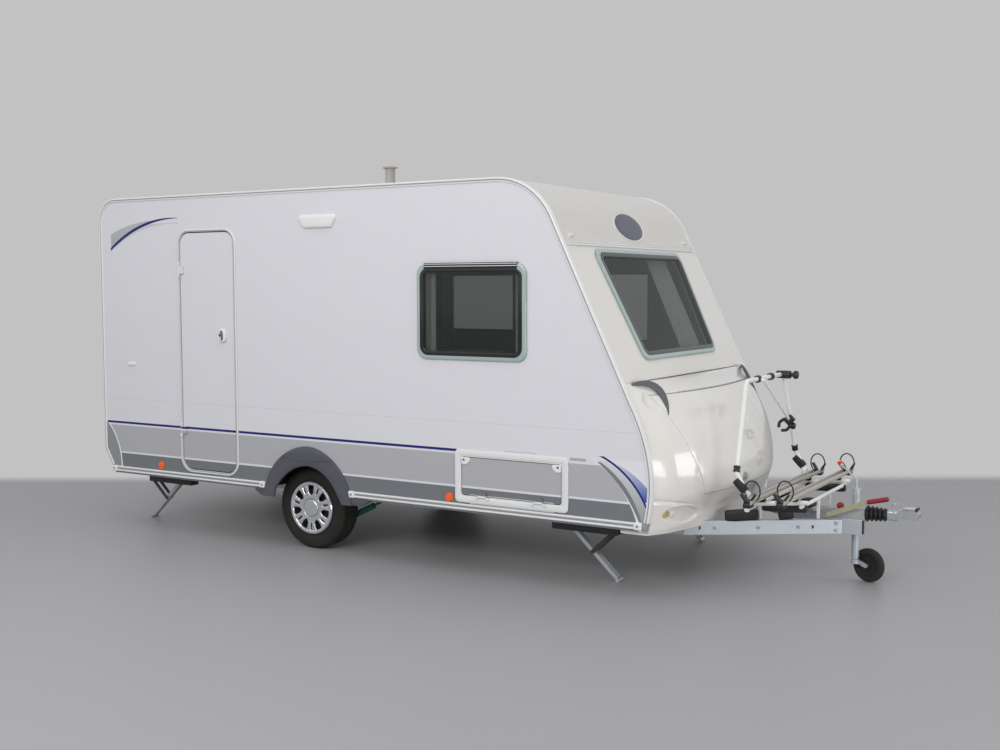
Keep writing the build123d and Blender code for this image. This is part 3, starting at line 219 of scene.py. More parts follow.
def soft_outline(corners: np.ndarray, radius: float, inset: float = 0.0, per_corner: int = 9) -> np.ndarray:
    """A convex outline with round corners.

    Each side moves inwards by the inset, neighbouring sides are crossed again, and an arc
    of (radius - inset) touches both sides at each crossing.

    Args:
        corners: Sharp corners in order, anticlockwise, (k, 2).
        radius: Corner radius of the outline with no inset.
        inset: How far the sides move inwards.
        per_corner: Points on each corner's arc.

    Returns:
        Points of the outline, (k * per_corner, 2).
    """
    corners = np.asarray(corners, float)
    ahead = np.roll(corners, -1, axis=0) - corners
    ahead /= np.linalg.norm(ahead, axis=1)[:, None]
    inwards = np.stack([-ahead[:, 1], ahead[:, 0]], 1)
    behind, behind_in = np.roll(ahead, 1, axis=0), np.roll(inwards, 1, axis=0)
    turn = behind[:, 0] * ahead[:, 1] - behind[:, 1] * ahead[:, 0]
    arc = max(radius - inset, 1e-4)
    gap = inwards - behind_in
    along = (gap[:, 0] * ahead[:, 1] - gap[:, 1] * ahead[:, 0]) / turn
    centres = corners + (inset + arc) * (behind_in + along[:, None] * behind)
    first = np.arctan2(-behind_in[:, 1], -behind_in[:, 0])
    sweep = np.arctan2(turn, (behind * ahead).sum(1))
    share = np.linspace(0, 1, per_corner)
    angle = first[:, None] + sweep[:, None] * share
    ring = centres[:, None] + arc * np.stack([np.cos(angle), np.sin(angle)], -1)
    return ring.reshape(-1, 2)


def box_corners(u: Span, v: Span) -> np.ndarray:
    """The corners of a rectangle, anticlockwise."""
    return np.array([(u[0], v[0]), (u[1], v[0]), (u[1], v[1]), (u[0], v[1])])


@dataclass(frozen=True)
class Face:
    """A flat face that plates are laid on: an origin, two directions and an outward one."""

    origin: Spot
    u: Spot
    v: Spot
    out: Spot

    def lift(self, flat: np.ndarray, height: float | np.ndarray = 0.0) -> np.ndarray:
        """Places flat points, (..., 2), at a height above the face."""
        flat = np.asarray(flat, float)
        tall = np.broadcast_to(np.asarray(height, float), flat.shape[:-1])[..., None]
        place = np.array(self.origin) + flat[..., :1] * np.array(self.u) + flat[..., 1:] * np.array(self.v)
        return place + tall * np.array(self.out)


def side_face(side: int) -> Face:
    """The outside of a side wall, drawn in X and Z; side is -1 on the right, 1 on the left."""
    return Face((0, side * SIZE.half_width, 0), (1, 0, 0), (0, 0, 1), (0, side, 0))


REAR_FACE = Face((SIZE.rear, 0, 0), (0, 1, 0), (0, 0, 1), (-1, 0, 0))
SLOPE_FACE = Face(
    (SIZE.knee[0], 0, SIZE.knee[1]),
    (0, 1, 0),
    (-math.sin(SIZE.lean), 0, math.cos(SIZE.lean)),
    (math.cos(SIZE.lean), 0, math.sin(SIZE.lean)),
)


def plate(
    name: str, face: Face, corners: np.ndarray, radius: float, steps: list, sharp: float = 50.0
) -> Piece:
    """A round-cornered plate built from steps of inset and height.

    Args:
        name: The object's name.
        face: The face it lies on.
        corners: Its outline's sharp corners, anticlockwise, (k, 2).
        radius: Corner radius.
        steps: Pairs of (inset, height) from its back, round its edge, to its front.
        sharp: The angle past which an edge stays crisp.
    """
    rings = [face.lift(soft_outline(corners, radius, inset), height) for inset, height in steps]
    return stack_rings(name, np.array(rings), sharp=sharp)


def hoop_plate(
    name: str, face: Face, corners: np.ndarray, radius: float, steps: list, sharp: float = 50.0
) -> Piece:
    """A frame round an opening: the steps of inset and height close on themselves."""
    rings = [face.lift(soft_outline(corners, radius, inset), height) for inset, height in steps]
    rings.append(rings[0])
    return stack_rings(name, np.array(rings), caps=False, sharp=sharp)


def lathe(
    name: str,
    profile: np.ndarray | list,
    centre: tuple,
    axis: str,
    count: int = 96,
    sharp: float = 35.0,
    caps: bool = True,
) -> Piece:
    """Turns a profile about an axis: a point at (radius, along) goes round a circle.

    Args:
        name: The object's name.
        profile: Pairs of radius and distance along the axis, (n, 2).
        centre: A point on the axis.
        axis: "X", "Y" or "Z"; the distance along runs in its positive direction.
        count: Points round the circle.
        sharp: The angle past which an edge stays crisp.
        caps: Whether the first and last circles are filled.
    """
    profile = np.asarray(profile, float)
    radius, along = profile[:, :1], np.broadcast_to(profile[:, 1:], (len(profile), count))
    first, second = radius * np.cos(around(count)), radius * np.sin(around(count))
    order = {"X": (along, first, second), "Y": (second, along, first), "Z": (first, second, along)}[axis]
    return stack_rings(name, np.stack(order, -1) + np.array(centre), caps, sharp)


def turned(profile: list, centre: np.ndarray, axis: Way, first: Way, second: Way, count: int) -> np.ndarray:
    """Rings of a profile turned about a slanting axis.

    Args:
        profile: Pairs of radius and distance along the axis.
        centre: Where the distance along is nought.
        axis: The axis's direction.
        first: A direction square to it.
        second: The direction square to both.
        count: Points round the circle.

    Returns:
        Ring points, (rings, count, 3).
    """
    circle = np.cos(
        around(count)
    )[:, None] * np.array(first) + np.sin(around(count))[:, None] * np.array(second)
    return np.array([centre + np.array(axis) * along + radius * circle for radius, along in profile])


def smooth_path(points: list, bend: float, per_bend: int = 8) -> np.ndarray:
    """Straight runs joined by round bends: an arc of the bend radius touches both runs."""
    points = [np.array(point, float) for point in points]
    path = [points[0]]
    for before, here, after in zip(points, points[1:], points[2:]):
        back, ahead = before - here, after - here
        back_length, ahead_length = np.linalg.norm(back), np.linalg.norm(ahead)
        back, ahead = back / back_length, ahead / ahead_length
        half = math.acos(np.clip(back @ ahead, -1, 1)) / 2
        reach = min(bend / math.tan(half), 0.48 * back_length, 0.48 * ahead_length)
        radius = reach * math.tan(half)
        middle = back + ahead
        middle = middle / np.linalg.norm(middle)
        centre = here + middle * radius / math.sin(half)
        start, end = here + back * reach - centre, here + ahead * reach - centre
        swing = math.acos(np.clip(start @ end / radius**2, -1, 1))
        share = np.linspace(0, 1, per_bend)[:, None]
        arc = (np.sin((1 - share) * swing) * start + np.sin(share * swing) * end) / math.sin(swing)
        path.extend(centre + arc)
    path.append(points[-1])
    return np.array(path)


def carry(
    name: str, path: np.ndarray, section: np.ndarray, up: tuple = (0, 0, 1), sharp: float = 35.0
) -> Piece:
    """Carries a closed section along a path.

    At each path point the section's first axis is the path's direction crossed with up,
    its second is square to both, and a corner's section is stretched by one over the
    cosine of half its turn, so that a mitred bar keeps its thickness.

    Args:
        name: The object's name.
        path: Points, (n, 3).
        section: Closed section, (m, 2).
        up: A direction that is never along the path.
        sharp: The angle past which an edge stays crisp.
    """
    path, section = np.asarray(path, float), np.asarray(section, float)
    runs = np.diff(path, axis=0)
    runs /= np.linalg.norm(runs, axis=1)[:, None]
    way = np.vstack([runs[:1], runs[:-1] + runs[1:], runs[-1:]])
    way /= np.linalg.norm(way, axis=1)[:, None]
    first = np.cross(way, np.array(up, float))
    first /= np.linalg.norm(first, axis=1)[:, None]
    second = np.cross(first, way)
    beside = np.vstack([runs[:1], runs])
    first /= np.sum(way * beside, 1)[:, None]
    rings = path[:, None] + section[:, 0, None] * first[:, None] + section[:, 1, None] * second[:, None]
    return stack_rings(name, rings, sharp=sharp)


def round_section(radius: float, count: int = 16) -> np.ndarray:
    """A circle as a closed section."""
    return radius * np.stack([np.cos(around(count)), np.sin(around(count))], 1)


def tube_frames(path: np.ndarray) -> tuple[np.ndarray, np.ndarray]:
    """Two directions square to a path that turn as little as they can from point to point."""
    runs = np.gradient(path, axis=0)
    runs /= np.linalg.norm(runs, axis=1)[:, None]
    guess = np.array((0, 0, 1.0)) if abs(runs[0][2]) < 0.9 else np.array((1.0, 0, 0))
    firsts = []
    for way in runs:
        guess = guess - way * (guess @ way)
        guess = guess / np.linalg.norm(guess)
        firsts.append(guess)
    first = np.array(firsts)
    return first, np.cross(runs, first)


def tube(name: str, path: np.ndarray, radius: float | np.ndarray, count: int = 16) -> Piece:
    """A round bar along a path; radius is one number or one for each path point."""
    path = np.asarray(path, float)
    first, second = tube_frames(path)
    circle = round_section(1.0, count)
    wide = np.broadcast_to(np.asarray(radius, float), len(path))[:, None, None]
    rings = path[:, None] + wide * (circle[:, :1] * first[:, None] + circle[:, 1:] * second[:, None])
    return stack_rings(name, rings, sharp=50.0)


def join(name: str, pieces: list) -> Piece:
    """Makes one object of several that share a finish."""
    with bpy.context.temp_override(
        active_object=pieces[0], object=pieces[0], selected_objects=pieces, selected_editable_objects=pieces
    ):
        bpy.ops.object.join()
    pieces[0].name = name
    pieces[0].data.name = name
    return pieces[0]


def mirrored(piece: Piece, name: str) -> Piece:
    """A copy of a piece on the other side of the caravan."""
    mesh = piece.data.copy()
    mesh.name = name
    mesh.transform(Matrix.Scale(-1, 4, (0, 1, 0)))
    mesh.flip_normals()
    return placed(name, mesh)


# Finishes


def linear(code: str) -> tuple[float, ...]:
    """Turns an sRGB hex colour into linear red, green, blue and alpha."""
    levels = np.array([int(code[i : i + 2], 16) for i in (1, 3, 5)]) / 255
    light = np.where(levels <= 0.04045, levels / 12.92, ((levels + 0.055) / 1.055) ** 2.4)
    return (*light.tolist(), 1.0)


@dataclass(frozen=True)
class Net:
    """A node tree, with short ways to add the nodes that finishes are made of."""

    tree: bpy.types.NodeTree

    def fill(self, node: bpy.types.Node, inputs: dict) -> None:
        """Sets or links a node's inputs, each given a value or another node's output socket."""
        for key, value in inputs.items():
            if isinstance(value, Socket):
                self.tree.links.new(value, node.inputs[key])
            else:
                node.inputs[key].default_value = value

    def node(self, kind: str, inputs: dict | None = None, **settings: str) -> bpy.types.Node:
        """Adds a node, applies its settings, and sets or links its inputs.

        Args:
            kind: The node's type name, without its first word.
            inputs: Input names or numbers, with their values or sockets.
            settings: Attribute names and values.
        """
        made = self.tree.nodes.new(f"ShaderNode{kind}")
        for key, value in settings.items():
            setattr(made, key, value)
        self.fill(made, inputs or {})
        return made

    def maths(self, operation: str, first: Socket, second: Socket | float) -> Socket:
        """The result of a sum or a test on two numbers."""
        return self.node("Math", {0: first, 1: second}, operation=operation).outputs[0]

    def vector(self, operation: str, first: Socket, second: tuple) -> bpy.types.Node:
        """A sum on two vectors."""
        return self.node("VectorMath", {0: first, 1: second}, operation=operation)

    def remap(self, value: Socket, low: float, high: float, **limits: float) -> Socket:
        """A value from nought to one, or between other limits, stretched to run from low to high."""
        limits = {key.replace("_", " ").title(): limit for key, limit in limits.items()}
        return self.node("MapRange", {"Value": value, "To Min": low, "To Max": high, **limits}).outputs[0]

    def mix(self, share: Socket, first: Socket | tuple, second: Socket | tuple) -> Socket:
        """The first colour where the share is nought, the second where it is one."""
        inputs = {"Factor": share, "A": first, "B": second}
        return self.node("Mix", inputs, data_type="RGBA").outputs["Result"]


class Grain(Enum):
    """What a surface's fine relief comes from."""

    ORANGE_PEEL = "sprayed paint's slight waviness"
    MOULDED = "fine texture of a moulding tool"
    SPANGLE = "zinc crystals of hot-dip galvanising"
    DRAWN = "long fine scratches of drawn or brushed metal"
    WOVEN = "threads of a cloth"
    FIGURE = "growth rings of wood"
    CAST = "coarse skin of a sand casting"


GRAIN_SIZE_MM = {
    Grain.ORANGE_PEEL: 9.0,
    Grain.MOULDED: 1.6,
    Grain.SPANGLE: 11.0,
    Grain.DRAWN: 1.2,
    Grain.WOVEN: 3.0,
    Grain.FIGURE: 22.0,
    Grain.CAST: 3.0,
}


@dataclass(frozen=True)
class Finish:
    """A surface: what it is made of, its colours and how it takes the light."""

    name: str
    colour: str
    roughness: float
    metallic: float = 0.0
    ior: float = 1.46
    coat: float = 0.0
    grain: Grain = Grain.MOULDED
    relief: float = 0.05
    mottle: float = 0.06
    wear: float = 0.0
    alpha: float = 1.0

    def material(self) -> bpy.types.Material:
        """Builds the material once and returns it."""
        known = bpy.data.materials.get(self.name)
        if known:
            return known
        made = bpy.data.materials.new(self.name)
        made.use_nodes = True
        net = Net(made.node_tree)
        where = net.node("TexCoord").outputs["Object"]
        shader = net.tree.nodes["Principled BSDF"]
        net.fill(shader, {"Metallic": self.metallic, "Coat Weight": self.coat, "Coat Roughness": 0.06})
        net.fill(shader, {"Alpha": self.alpha, "Base Color": self.toned(net, where)})
        if not self.metallic:
            net.fill(shader, {"IOR": self.ior})
        smooth, rough = max(self.roughness * 0.85, 0.02), min(self.roughness * 1.2, 1.0)
        net.fill(shader, {"Roughness": net.remap(self.cloud(net, where), smooth, rough)})
        if self.relief:
            height = {"Strength": self.relief, "Distance": 0.4 * MM, "Height": self.height(net, where)}
            net.fill(shader, {"Normal": net.node("Bump", height).outputs[0]})
        return made

    def cloud(self, net: Net, where: Socket) -> Socket:
        """Soft patches about 120 mm across, as handling and weather leave.

        Args:
            net: The material's nodes.
            where: The point on the surface.

        Returns:
            A number from nought to one.
        """
        return net.node("TexNoise", {"Vector": where, "Scale": 1 / (120 * MM), "Detail": 4.0}).outputs["Fac"]

    def height(self, net: Net, where: Socket) -> Socket:
        """The height of the surface's grain, its crystals, threads or scratches.

        Args:
            net: The material's nodes.
            where: The point on the surface.

        Returns:
            A number from nought to about one.
        """
        stretched = {Grain.DRAWN: (1.0, 25.0, 25.0), Grain.FIGURE: (12.0, 1.0, 1.0)}
        mapped = net.node("Mapping", {"Vector": where, "Scale": stretched.get(self.grain, (1.0, 1.0, 1.0))})
        inputs = {"Vector": mapped.outputs[0], "Scale": 1 / (GRAIN_SIZE_MM[self.grain] * MM)}
        if self.grain is Grain.SPANGLE:
            return net.node("TexVoronoi", inputs).outputs["Distance"]
        if self.grain is Grain.WOVEN:
            warp, weft = (net.node("TexWave", inputs, bands_direction=way).outputs["Fac"] for way in "XZ")
            return net.maths("MAXIMUM", warp, weft)
        return net.node("TexNoise", {**inputs, "Detail": 3.0}).outputs["Fac"]

    def toned(self, net: Net, where: Socket) -> Socket:
        """The colour, a little lighter and darker in soft patches, and dusty where it is worn.

        Args:
            net: The material's nodes.
            where: The point on the surface.

        Returns:
            The colour for the shader.
        """
        shade = net.remap(self.cloud(net, where), 1 - self.mottle, 1 + self.mottle)
        base = {0: self.base_colour(net, where), "Scale": shade}
        toned = net.node("VectorMath", base, operation="SCALE").outputs[0]
        if not self.wear:
            return toned
        height = net.node("SeparateXYZ", {"Vector": where}).outputs["Z"]
        low = net.remap(height, self.wear, self.wear * 0.25, from_max=0.6)
        return net.mix(net.maths("MULTIPLY", low, self.cloud(net, where)), toned, linear("#8A8478"))

    def base_colour(self, net: Net, where: Socket) -> Socket:
        """The colour before patches and dust.

        Args:
            net: The material's nodes.
            where: The point on the surface; a plain finish is the same everywhere.

        Returns:
            The colour.
        """
        plain = net.node("RGB")
        plain.outputs[0].default_value = linear(self.colour)
        return plain.outputs[0]


# Painted side graphics


EVERYWHERE = (-9.0, 9.0)


@dataclass(frozen=True)
class Patch:
    """One colour of the side graphics, in X and Z from the axle.

    A point takes the colour where it lies between the limits, inside each of the inside
    circles and outside each of the outside ones; a circle is (x, z, radius).
    """

    colour: str
    x: Span = EVERYWHERE
    z: Span = EVERYWHERE
    inside: tuple = ()
    outside: tuple = ()
    fade_to: str = ""


REAR_SWEEP = (-2.328, 0.466, 0.476)
STRIP_IN = (1.968, 0.266, 0.643)
STRIP_OUT = (1.844, 0.144, 0.818)
DARK_ARC = (2.056, 0.305, 0.576)
NAVY_ARC = (2.123, 0.320, 0.566)
WEDGE_ARC = (2.282, 0.336, 0.498)
SWOOSH_TOP = (-1.269, 1.298, 1.092)
SWOOSH_LOW = (-1.190, 1.124, 1.260)
SWOOSH_GREY = (-1.423, 1.055, 1.320)
SWOOSH_FAINT = (-1.263, 1.150, 1.194)


def wider(circle: tuple, more: float) -> tuple:
    """The same circle with a larger radius."""
    return (circle[0], circle[1], circle[2] + more)


SIDE_PATCHES = (
    Patch("#B9BABD", z=(0.9990, 1.0008)),
    Patch("#ABABAF", x=(-2.10, 2.70), z=(0.585, 0.790)),
    Patch("#6F7376", x=(-2.10, 2.70), z=(0.400, 0.571)),
    Patch("#DCDDE0", x=(1.90, 2.70), z=(0.400, 0.835), outside=(STRIP_IN,)),
    Patch(
        "#74787B", x=(2.20, 2.70), z=(0.400, 0.812), inside=(wider(DARK_ARC, 0.004),), outside=(STRIP_OUT,)
    ),
    Patch(
        "#86898D", x=(2.20, 2.70), z=(0.400, 0.822), inside=(NAVY_ARC,), outside=(wider(DARK_ARC, 0.004),),
        fade_to="#CDCFD3"
    ),
    Patch(
        "#1F3FA0", x=(2.30, 2.70), z=(0.590, 0.822), inside=(WEDGE_ARC,), outside=(NAVY_ARC,),
        fade_to="#C6C9D8"
    ),
    Patch("#0D1468", x=(2.30, 2.70), z=(0.400, 0.848), inside=(wider(NAVY_ARC, 0.013),), outside=(NAVY_ARC,)),
    Patch("#8A8D8F", x=(-2.10, -1.80), z=(0.440, 0.806), inside=(wider(REAR_SWEEP, -0.006),)),
    Patch(
        "#E4E5E8", x=(-2.10, -1.80), z=(0.440, 0.806), inside=(wider(REAR_SWEEP, 0.006),),
        outside=(wider(REAR_SWEEP, -0.006),)
    ),
    Patch("#0D1468", x=(-2.006, 1.30), z=(0.804, 0.821)),
    Patch("#A6A8AC", x=(2.13, 2.24), z=(0.806, 0.824)),
    Patch("#B6B6CC", x=(1.66, 1.90), z=(0.828, 0.834)),
    Patch("#D6D6DA", x=(1.40, 2.02), z=(0.470, 0.531)),
    Patch("#C2C3C6", x=(-1.86, -1.18), z=(2.187, 2.350), inside=(SWOOSH_LOW,), outside=(SWOOSH_FAINT,)),
    Patch(
        "#A6A7A9", x=(-1.915, -1.40), z=(2.150, 2.380), inside=(SWOOSH_GREY,), outside=(SWOOSH_TOP,),
        fade_to="#B4B5B7"
    ),
    Patch("#0D1468", x=(-1.920, -1.19), z=(2.150, 2.392), inside=(SWOOSH_TOP,), outside=(SWOOSH_LOW,)),
)


@dataclass(frozen=True)
class SidePaint(Finish):
    """White stove-enamelled aluminium sheet with printed film stripes."""

    patches: tuple = ()

    def base_colour(self, net: Net, where: Socket) -> Socket:
        """Lays each patch over the ones before it.

        Args:
            net: The material's nodes.
            where: The point on the surface.

        Returns:
            The colour.
        """
        offset = net.vector("ADD", where, (SIZE.middle, 0, 0)).outputs[0]
        flat = net.vector("MULTIPLY", offset, (1, 0, 1)).outputs[0]
        parts = net.node("SeparateXYZ", {0: flat}).outputs
        colour = super().base_colour(net, where)
        for patch in self.patches:
            film = linear(patch.colour)
            if patch.fade_to:
                rise = {"Value": parts["Z"], "From Min": patch.z[0], "From Max": patch.z[1]}
                film = net.mix(net.node("MapRange", rise).outputs[0], film, linear(patch.fade_to))
            colour = net.mix(self.mask(net, patch, flat, parts["X"], parts["Z"]), colour, film)
        return colour

    def mask(self, net: Net, patch: Patch, flat: Socket, x: Socket, z: Socket) -> Socket:
        """One where a point lies inside the patch, and nought elsewhere.

        Args:
            net: The material's nodes.
            patch: The patch.
            flat: The point from the axle, with no Y.
            x: Its distance forward.
            z: Its height.

        Returns:
            The product of the tests.
        """
        tests = []
        for value, limits in ((x, patch.x), (z, patch.z)):
            if limits != EVERYWHERE:
                tests += [("GREATER_THAN", value, limits[0]), ("LESS_THAN", value, limits[1])]
        for circles, kind in ((patch.inside, "LESS_THAN"), (patch.outside, "GREATER_THAN")):
            for middle_x, middle_z, radius in circles:
                away = net.vector("DISTANCE", flat, (middle_x, 0, middle_z)).outputs["Value"]
                tests.append((kind, away, radius))
        mask = None
        for kind, value, limit in tests:
            test = net.maths(kind, value, limit)
            mask = test if mask is None else net.maths("MULTIPLY", mask, test)
        return mask


# Enamelled aluminium wall sheet: smooth, a soft sheen, with flat printed film stripes.
SIDE_SHEET = SidePaint(
    "enamelled_side_sheet", "#D6D6DA", 0.34, grain=Grain.ORANGE_PEEL, relief=0.02, mottle=0.012, coat=0.15,
    patches=SIDE_PATCHES
)
# The same enamelled sheet with no stripes, for the back wall and roof.
WHITE_SHEET = Finish(
    "enamelled_white_sheet", "#D9D8D6", 0.34, grain=Grain.ORANGE_PEEL, relief=0.02, mottle=0.012, coat=0.15
)
# Gel-coated glass fibre: a deep wet gloss over a warm white.
GEL_COAT = Finish(
    "gel_coated_glass_fibre", "#DBD8D2", 0.16, ior=1.52, coat=0.6, grain=Grain.ORANGE_PEEL, relief=0.03,
    mottle=0.012
)
# The front panel's gel coat, painted darker for the cap: painted shade for the light that falls on its slope.
SHADED_CAP_GEL_COAT = Finish(
    "aged_gel_coat", "#CDC9C2", 0.2, ior=1.52, coat=0.5, grain=Grain.ORANGE_PEEL, relief=0.03, mottle=0.012
)
# White powder-coated aluminium extrusion: clean edges and an even satin.
TRIM_WHITE = Finish(
    "white_coated_extrusion", "#DDDDDC", 0.3, grain=Grain.ORANGE_PEEL, relief=0.02, mottle=0.015, coat=0.2
)
# Grey PVC infill pressed into the extrusions' grooves: matt.
TRIM_GREY = Finish("grey_pvc_infill", "#8F9194", 0.6, relief=0.08, mottle=0.04)
# Moulded ABS of the wheel spats: mid-grey, fine leather-like tool texture.
SPAT_GREY = Finish("moulded_grey_abs", "#4E5057", 0.42, relief=0.12, mottle=0.03, wear=0.12)
# Darker moulded ABS of handles and catches.
HANDLE_GREY = Finish("moulded_dark_grey_abs", "#5A5B5F", 0.38, relief=0.10, mottle=0.03)
# White moulded plastic: fittings, locks and frames.
WHITE_PLASTIC = Finish("white_moulded_plastic", "#E2E2E0", 0.35, relief=0.04, mottle=0.015)
# Grey-tinted acrylic: dark and very glossy; the room shows faintly through it.
TINTED_ACRYLIC = Finish("grey_tinted_acrylic", "#2E3431", 0.05, ior=1.49, relief=0.0, mottle=0.04, alpha=0.42)
# The pane's border, where the pale wall and seal show through green-grey acrylic.
ACRYLIC_BORDER = Finish("pale_acrylic_border", "#9FB0AC", 0.08, ior=1.49, coat=0.5, relief=0.0, mottle=0.03)
# Black printed edge of a pane, under its gloss.
BLACK_GLOSS = Finish("black_printed_acrylic", "#141716", 0.08, ior=1.49, coat=0.6, relief=0.0, mottle=0.03)
# Black moulded plastic: clamps, blocks and cradles of the carrier.
BLACK_PLASTIC = Finish("black_moulded_plastic", "#1D1E20", 0.45, relief=0.12, mottle=0.08)
# Vulcanised tyre rubber: matt black with a grey bloom and road dust low down.
TYRE_RUBBER = Finish("vulcanised_tyre_rubber", "#080908", 0.8, relief=0.25, mottle=0.12, wear=0.12)
# Moulded bellows rubber: smoother and blacker than a tyre.
BELLOWS_RUBBER = Finish("moulded_bellows_rubber", "#151616", 0.5, relief=0.1, mottle=0.1)
# Hot-dip galvanised steel: pale grey zinc crystals, half matt.
ZINC = Finish(
    "hot_dip_galvanised_steel", "#B4BAC0", 0.45, metallic=0.5, grain=Grain.SPANGLE, relief=0.22, mottle=0.10,
    wear=0.10
)
# Bright zinc plate on bolts and pins.
BRIGHT_ZINC = Finish(
    "bright_zinc_plated_steel", "#B9BDC1", 0.28, metallic=0.9, grain=Grain.DRAWN, relief=0.08
)
# Brushed aluminium of the cycle rails, long fine lines along each rail.
BRUSHED = Finish("brushed_aluminium_rail", "#C6C1B8", 0.34, metallic=0.6, grain=Grain.DRAWN, relief=0.15)
# White powder-coated steel tube of the carrier.
WHITE_TUBE = Finish(
    "white_powder_coated_tube", "#DFDFDC", 0.3, grain=Grain.ORANGE_PEEL, mottle=0.02, coat=0.2
)
# Silver-painted plastic wheel cover: fine metallic lacquer.
SILVER_COVER = Finish("silver_lacquered_plastic", "#CFD1D4", 0.2, metallic=0.8, mottle=0.03, coat=0.4)
# Painted steel of the wheel disc and brake drum behind the cover, dark partly from its paint and partly as
# painted shade seen through the cover's openings; also the painted shade of the beams' holes.
DARK_STEEL_AND_SHADE = Finish(
    "dark_painted_steel", "#2B2D2F", 0.5, metallic=0.3, grain=Grain.CAST, relief=0.15, mottle=0.1, wear=0.2
)
# Axle paint: black, dusty.
AXLE_BLACK = Finish(
    "black_chassis_paint", "#242627", 0.55, grain=Grain.CAST, relief=0.2, mottle=0.1, wear=0.3
)
# Damper paint: dark green enamel.
DAMPER_GREEN = Finish(
    "green_damper_enamel", "#1C5A44", 0.4, grain=Grain.ORANGE_PEEL, relief=0.08, mottle=0.08, wear=0.15
)
# Cast iron housing of the overrun, painted light grey.
CAST_GREY = Finish("grey_painted_casting", "#9DA1A2", 0.45, grain=Grain.CAST, relief=0.25, wear=0.08)
# Olive zinc-chromate steel of the brake lever.
OLIVE_STEEL = Finish(
    "olive_chromated_steel", "#A9A58B", 0.4, metallic=0.45, grain=Grain.DRAWN, relief=0.1, mottle=0.08
)
# Red moulded vinyl grip.
RED_GRIP = Finish("red_vinyl_grip", "#7E1422", 0.45, relief=0.15)
# Bright red plastic knob.
RED_KNOB = Finish("bright_red_plastic_knob", "#D8372B", 0.35, mottle=0.04)
# Orange prismatic reflector lens.
ORANGE_LENS = Finish(
    "orange_reflector_lens", "#F06010", 0.18, ior=1.49, coat=0.7, grain=Grain.SPANGLE, relief=0.3, mottle=0.08
)
# Red ribbed lamp lens.
RED_LENS = Finish("red_ribbed_lamp_lens", "#A81418", 0.15, ior=1.49, coat=0.7, relief=0.2, mottle=0.05)
# Clear ribbed lens over a pale reflector.
CLEAR_LENS = Finish(
    "clear_ribbed_lamp_lens", "#D5D7D4", 0.12, ior=1.49, coat=0.8, grain=Grain.SPANGLE, relief=0.2,
    mottle=0.04
)
# Amber side of the front lamps.
AMBER_LENS = Finish("amber_lamp_lens", "#B9A36A", 0.15, ior=1.49, coat=0.7, grain=Grain.SPANGLE, relief=0.2)
# Birch plywood of the floor, seen from underneath, with a weatherproof stain.
PLY = Finish("stained_birch_plywood", "#5B4A3A", 0.65, grain=Grain.FIGURE, relief=0.15, mottle=0.12)
# Furniture board faced with a pale wood print.
PALE_WOOD = Finish("pale_laminated_board", "#C8AE8A", 0.45, grain=Grain.FIGURE, mottle=0.10)
# Woven upholstery in a plain blue-grey.
UPHOLSTERY = Finish("woven_upholstery", "#5F6B7C", 0.85, grain=Grain.WOVEN, relief=0.5, mottle=0.08)
# Light woven curtain cloth.
CURTAIN = Finish("woven_curtain_cloth", "#DDE5DE", 0.85, grain=Grain.WOVEN, relief=0.3, mottle=0.05)
# Weathered grey plastic of the roof vent.
VENT_GREY = Finish("weathered_vent_plastic", "#A39E98", 0.5, relief=0.08)
# Slate-blue enamel of the plain oval plate.
SLATE = Finish(
    "slate_enamel_plate", "#4A4B60", 0.3, grain=Grain.ORANGE_PEEL, relief=0.03, mottle=0.03, coat=0.3
)


# Sub-assemblies


@dataclass
class Assembly:
    """A group of pieces that are finished and fixed in one way."""

    frame: dict

    def add(
        self, piece: Piece, finish: Finish, slot: str, body: str = "caravan", stands_for: tuple[str, ...] = ()
    ) -> Piece:
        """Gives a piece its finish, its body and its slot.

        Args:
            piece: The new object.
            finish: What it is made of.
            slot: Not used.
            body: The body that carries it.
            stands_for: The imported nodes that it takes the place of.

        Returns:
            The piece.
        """
        piece.data.materials.clear()
        piece.data.materials.append(finish.material())
        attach(piece, body)
        if stands_for:
            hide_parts(*stands_for)
        log.info("%s: %s on %s", piece.name, finish.name, body)
        return piece

    def pair(self, piece: Piece, finish: Finish, slot: str, stands_for: tuple[str, ...] = ()) -> None:
        """Adds a right-hand piece and its mirror image on the left, both fixed to the caravan."""
        self.add(piece, finish, slot, stands_for=stands_for)
        self.add(mirrored(piece, piece.name.replace("right", "left")), finish, slot)

    def paint(self, node: str, finish: Finish) -> None:
        """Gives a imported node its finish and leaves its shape."""
        shape = self.frame["nodes"][node]
        shape.data.materials.clear()
        shape.data.materials.append(finish.material())
        log.info("%s: %s as packed", node, finish.name)

    def crisp(self, node: str, finish: Finish, slot: str, edge: float = 1.5, sharp: float = 32.0) -> Piece:
        """Replaces a node by a merged copy whose edges are broken by a small bevel.

        Args:
            node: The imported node.
            finish: What it is made of.
            slot: The record's material slot.
            edge: Width of the broken edge in millimetres.
            sharp: The angle in degrees past which an edge is broken.

        Returns:
            The copy.
        """
        source = self.frame["nodes"][node]
        mesh = source.data.copy()
        tidy = bmesh.new()
        tidy.from_mesh(mesh)
        bmesh.ops.remove_doubles(tidy, verts=tidy.verts, dist=2e-5)
        bmesh.ops.dissolve_limit(tidy, angle_limit=math.radians(0.6), verts=tidy.verts, edges=tidy.edges)
        tidy.to_mesh(mesh)
        tidy.free()
        mesh.shade_smooth()
        mesh.set_sharp_from_angle(angle=math.radians(sharp))
        piece = placed(f"{node}_finished", mesh)
        if edge:
            soften(piece, "broken_edges", edge * MM, 2, sharp).harden_normals = True
        return self.add(piece, finish, slot, source["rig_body"], (node,))


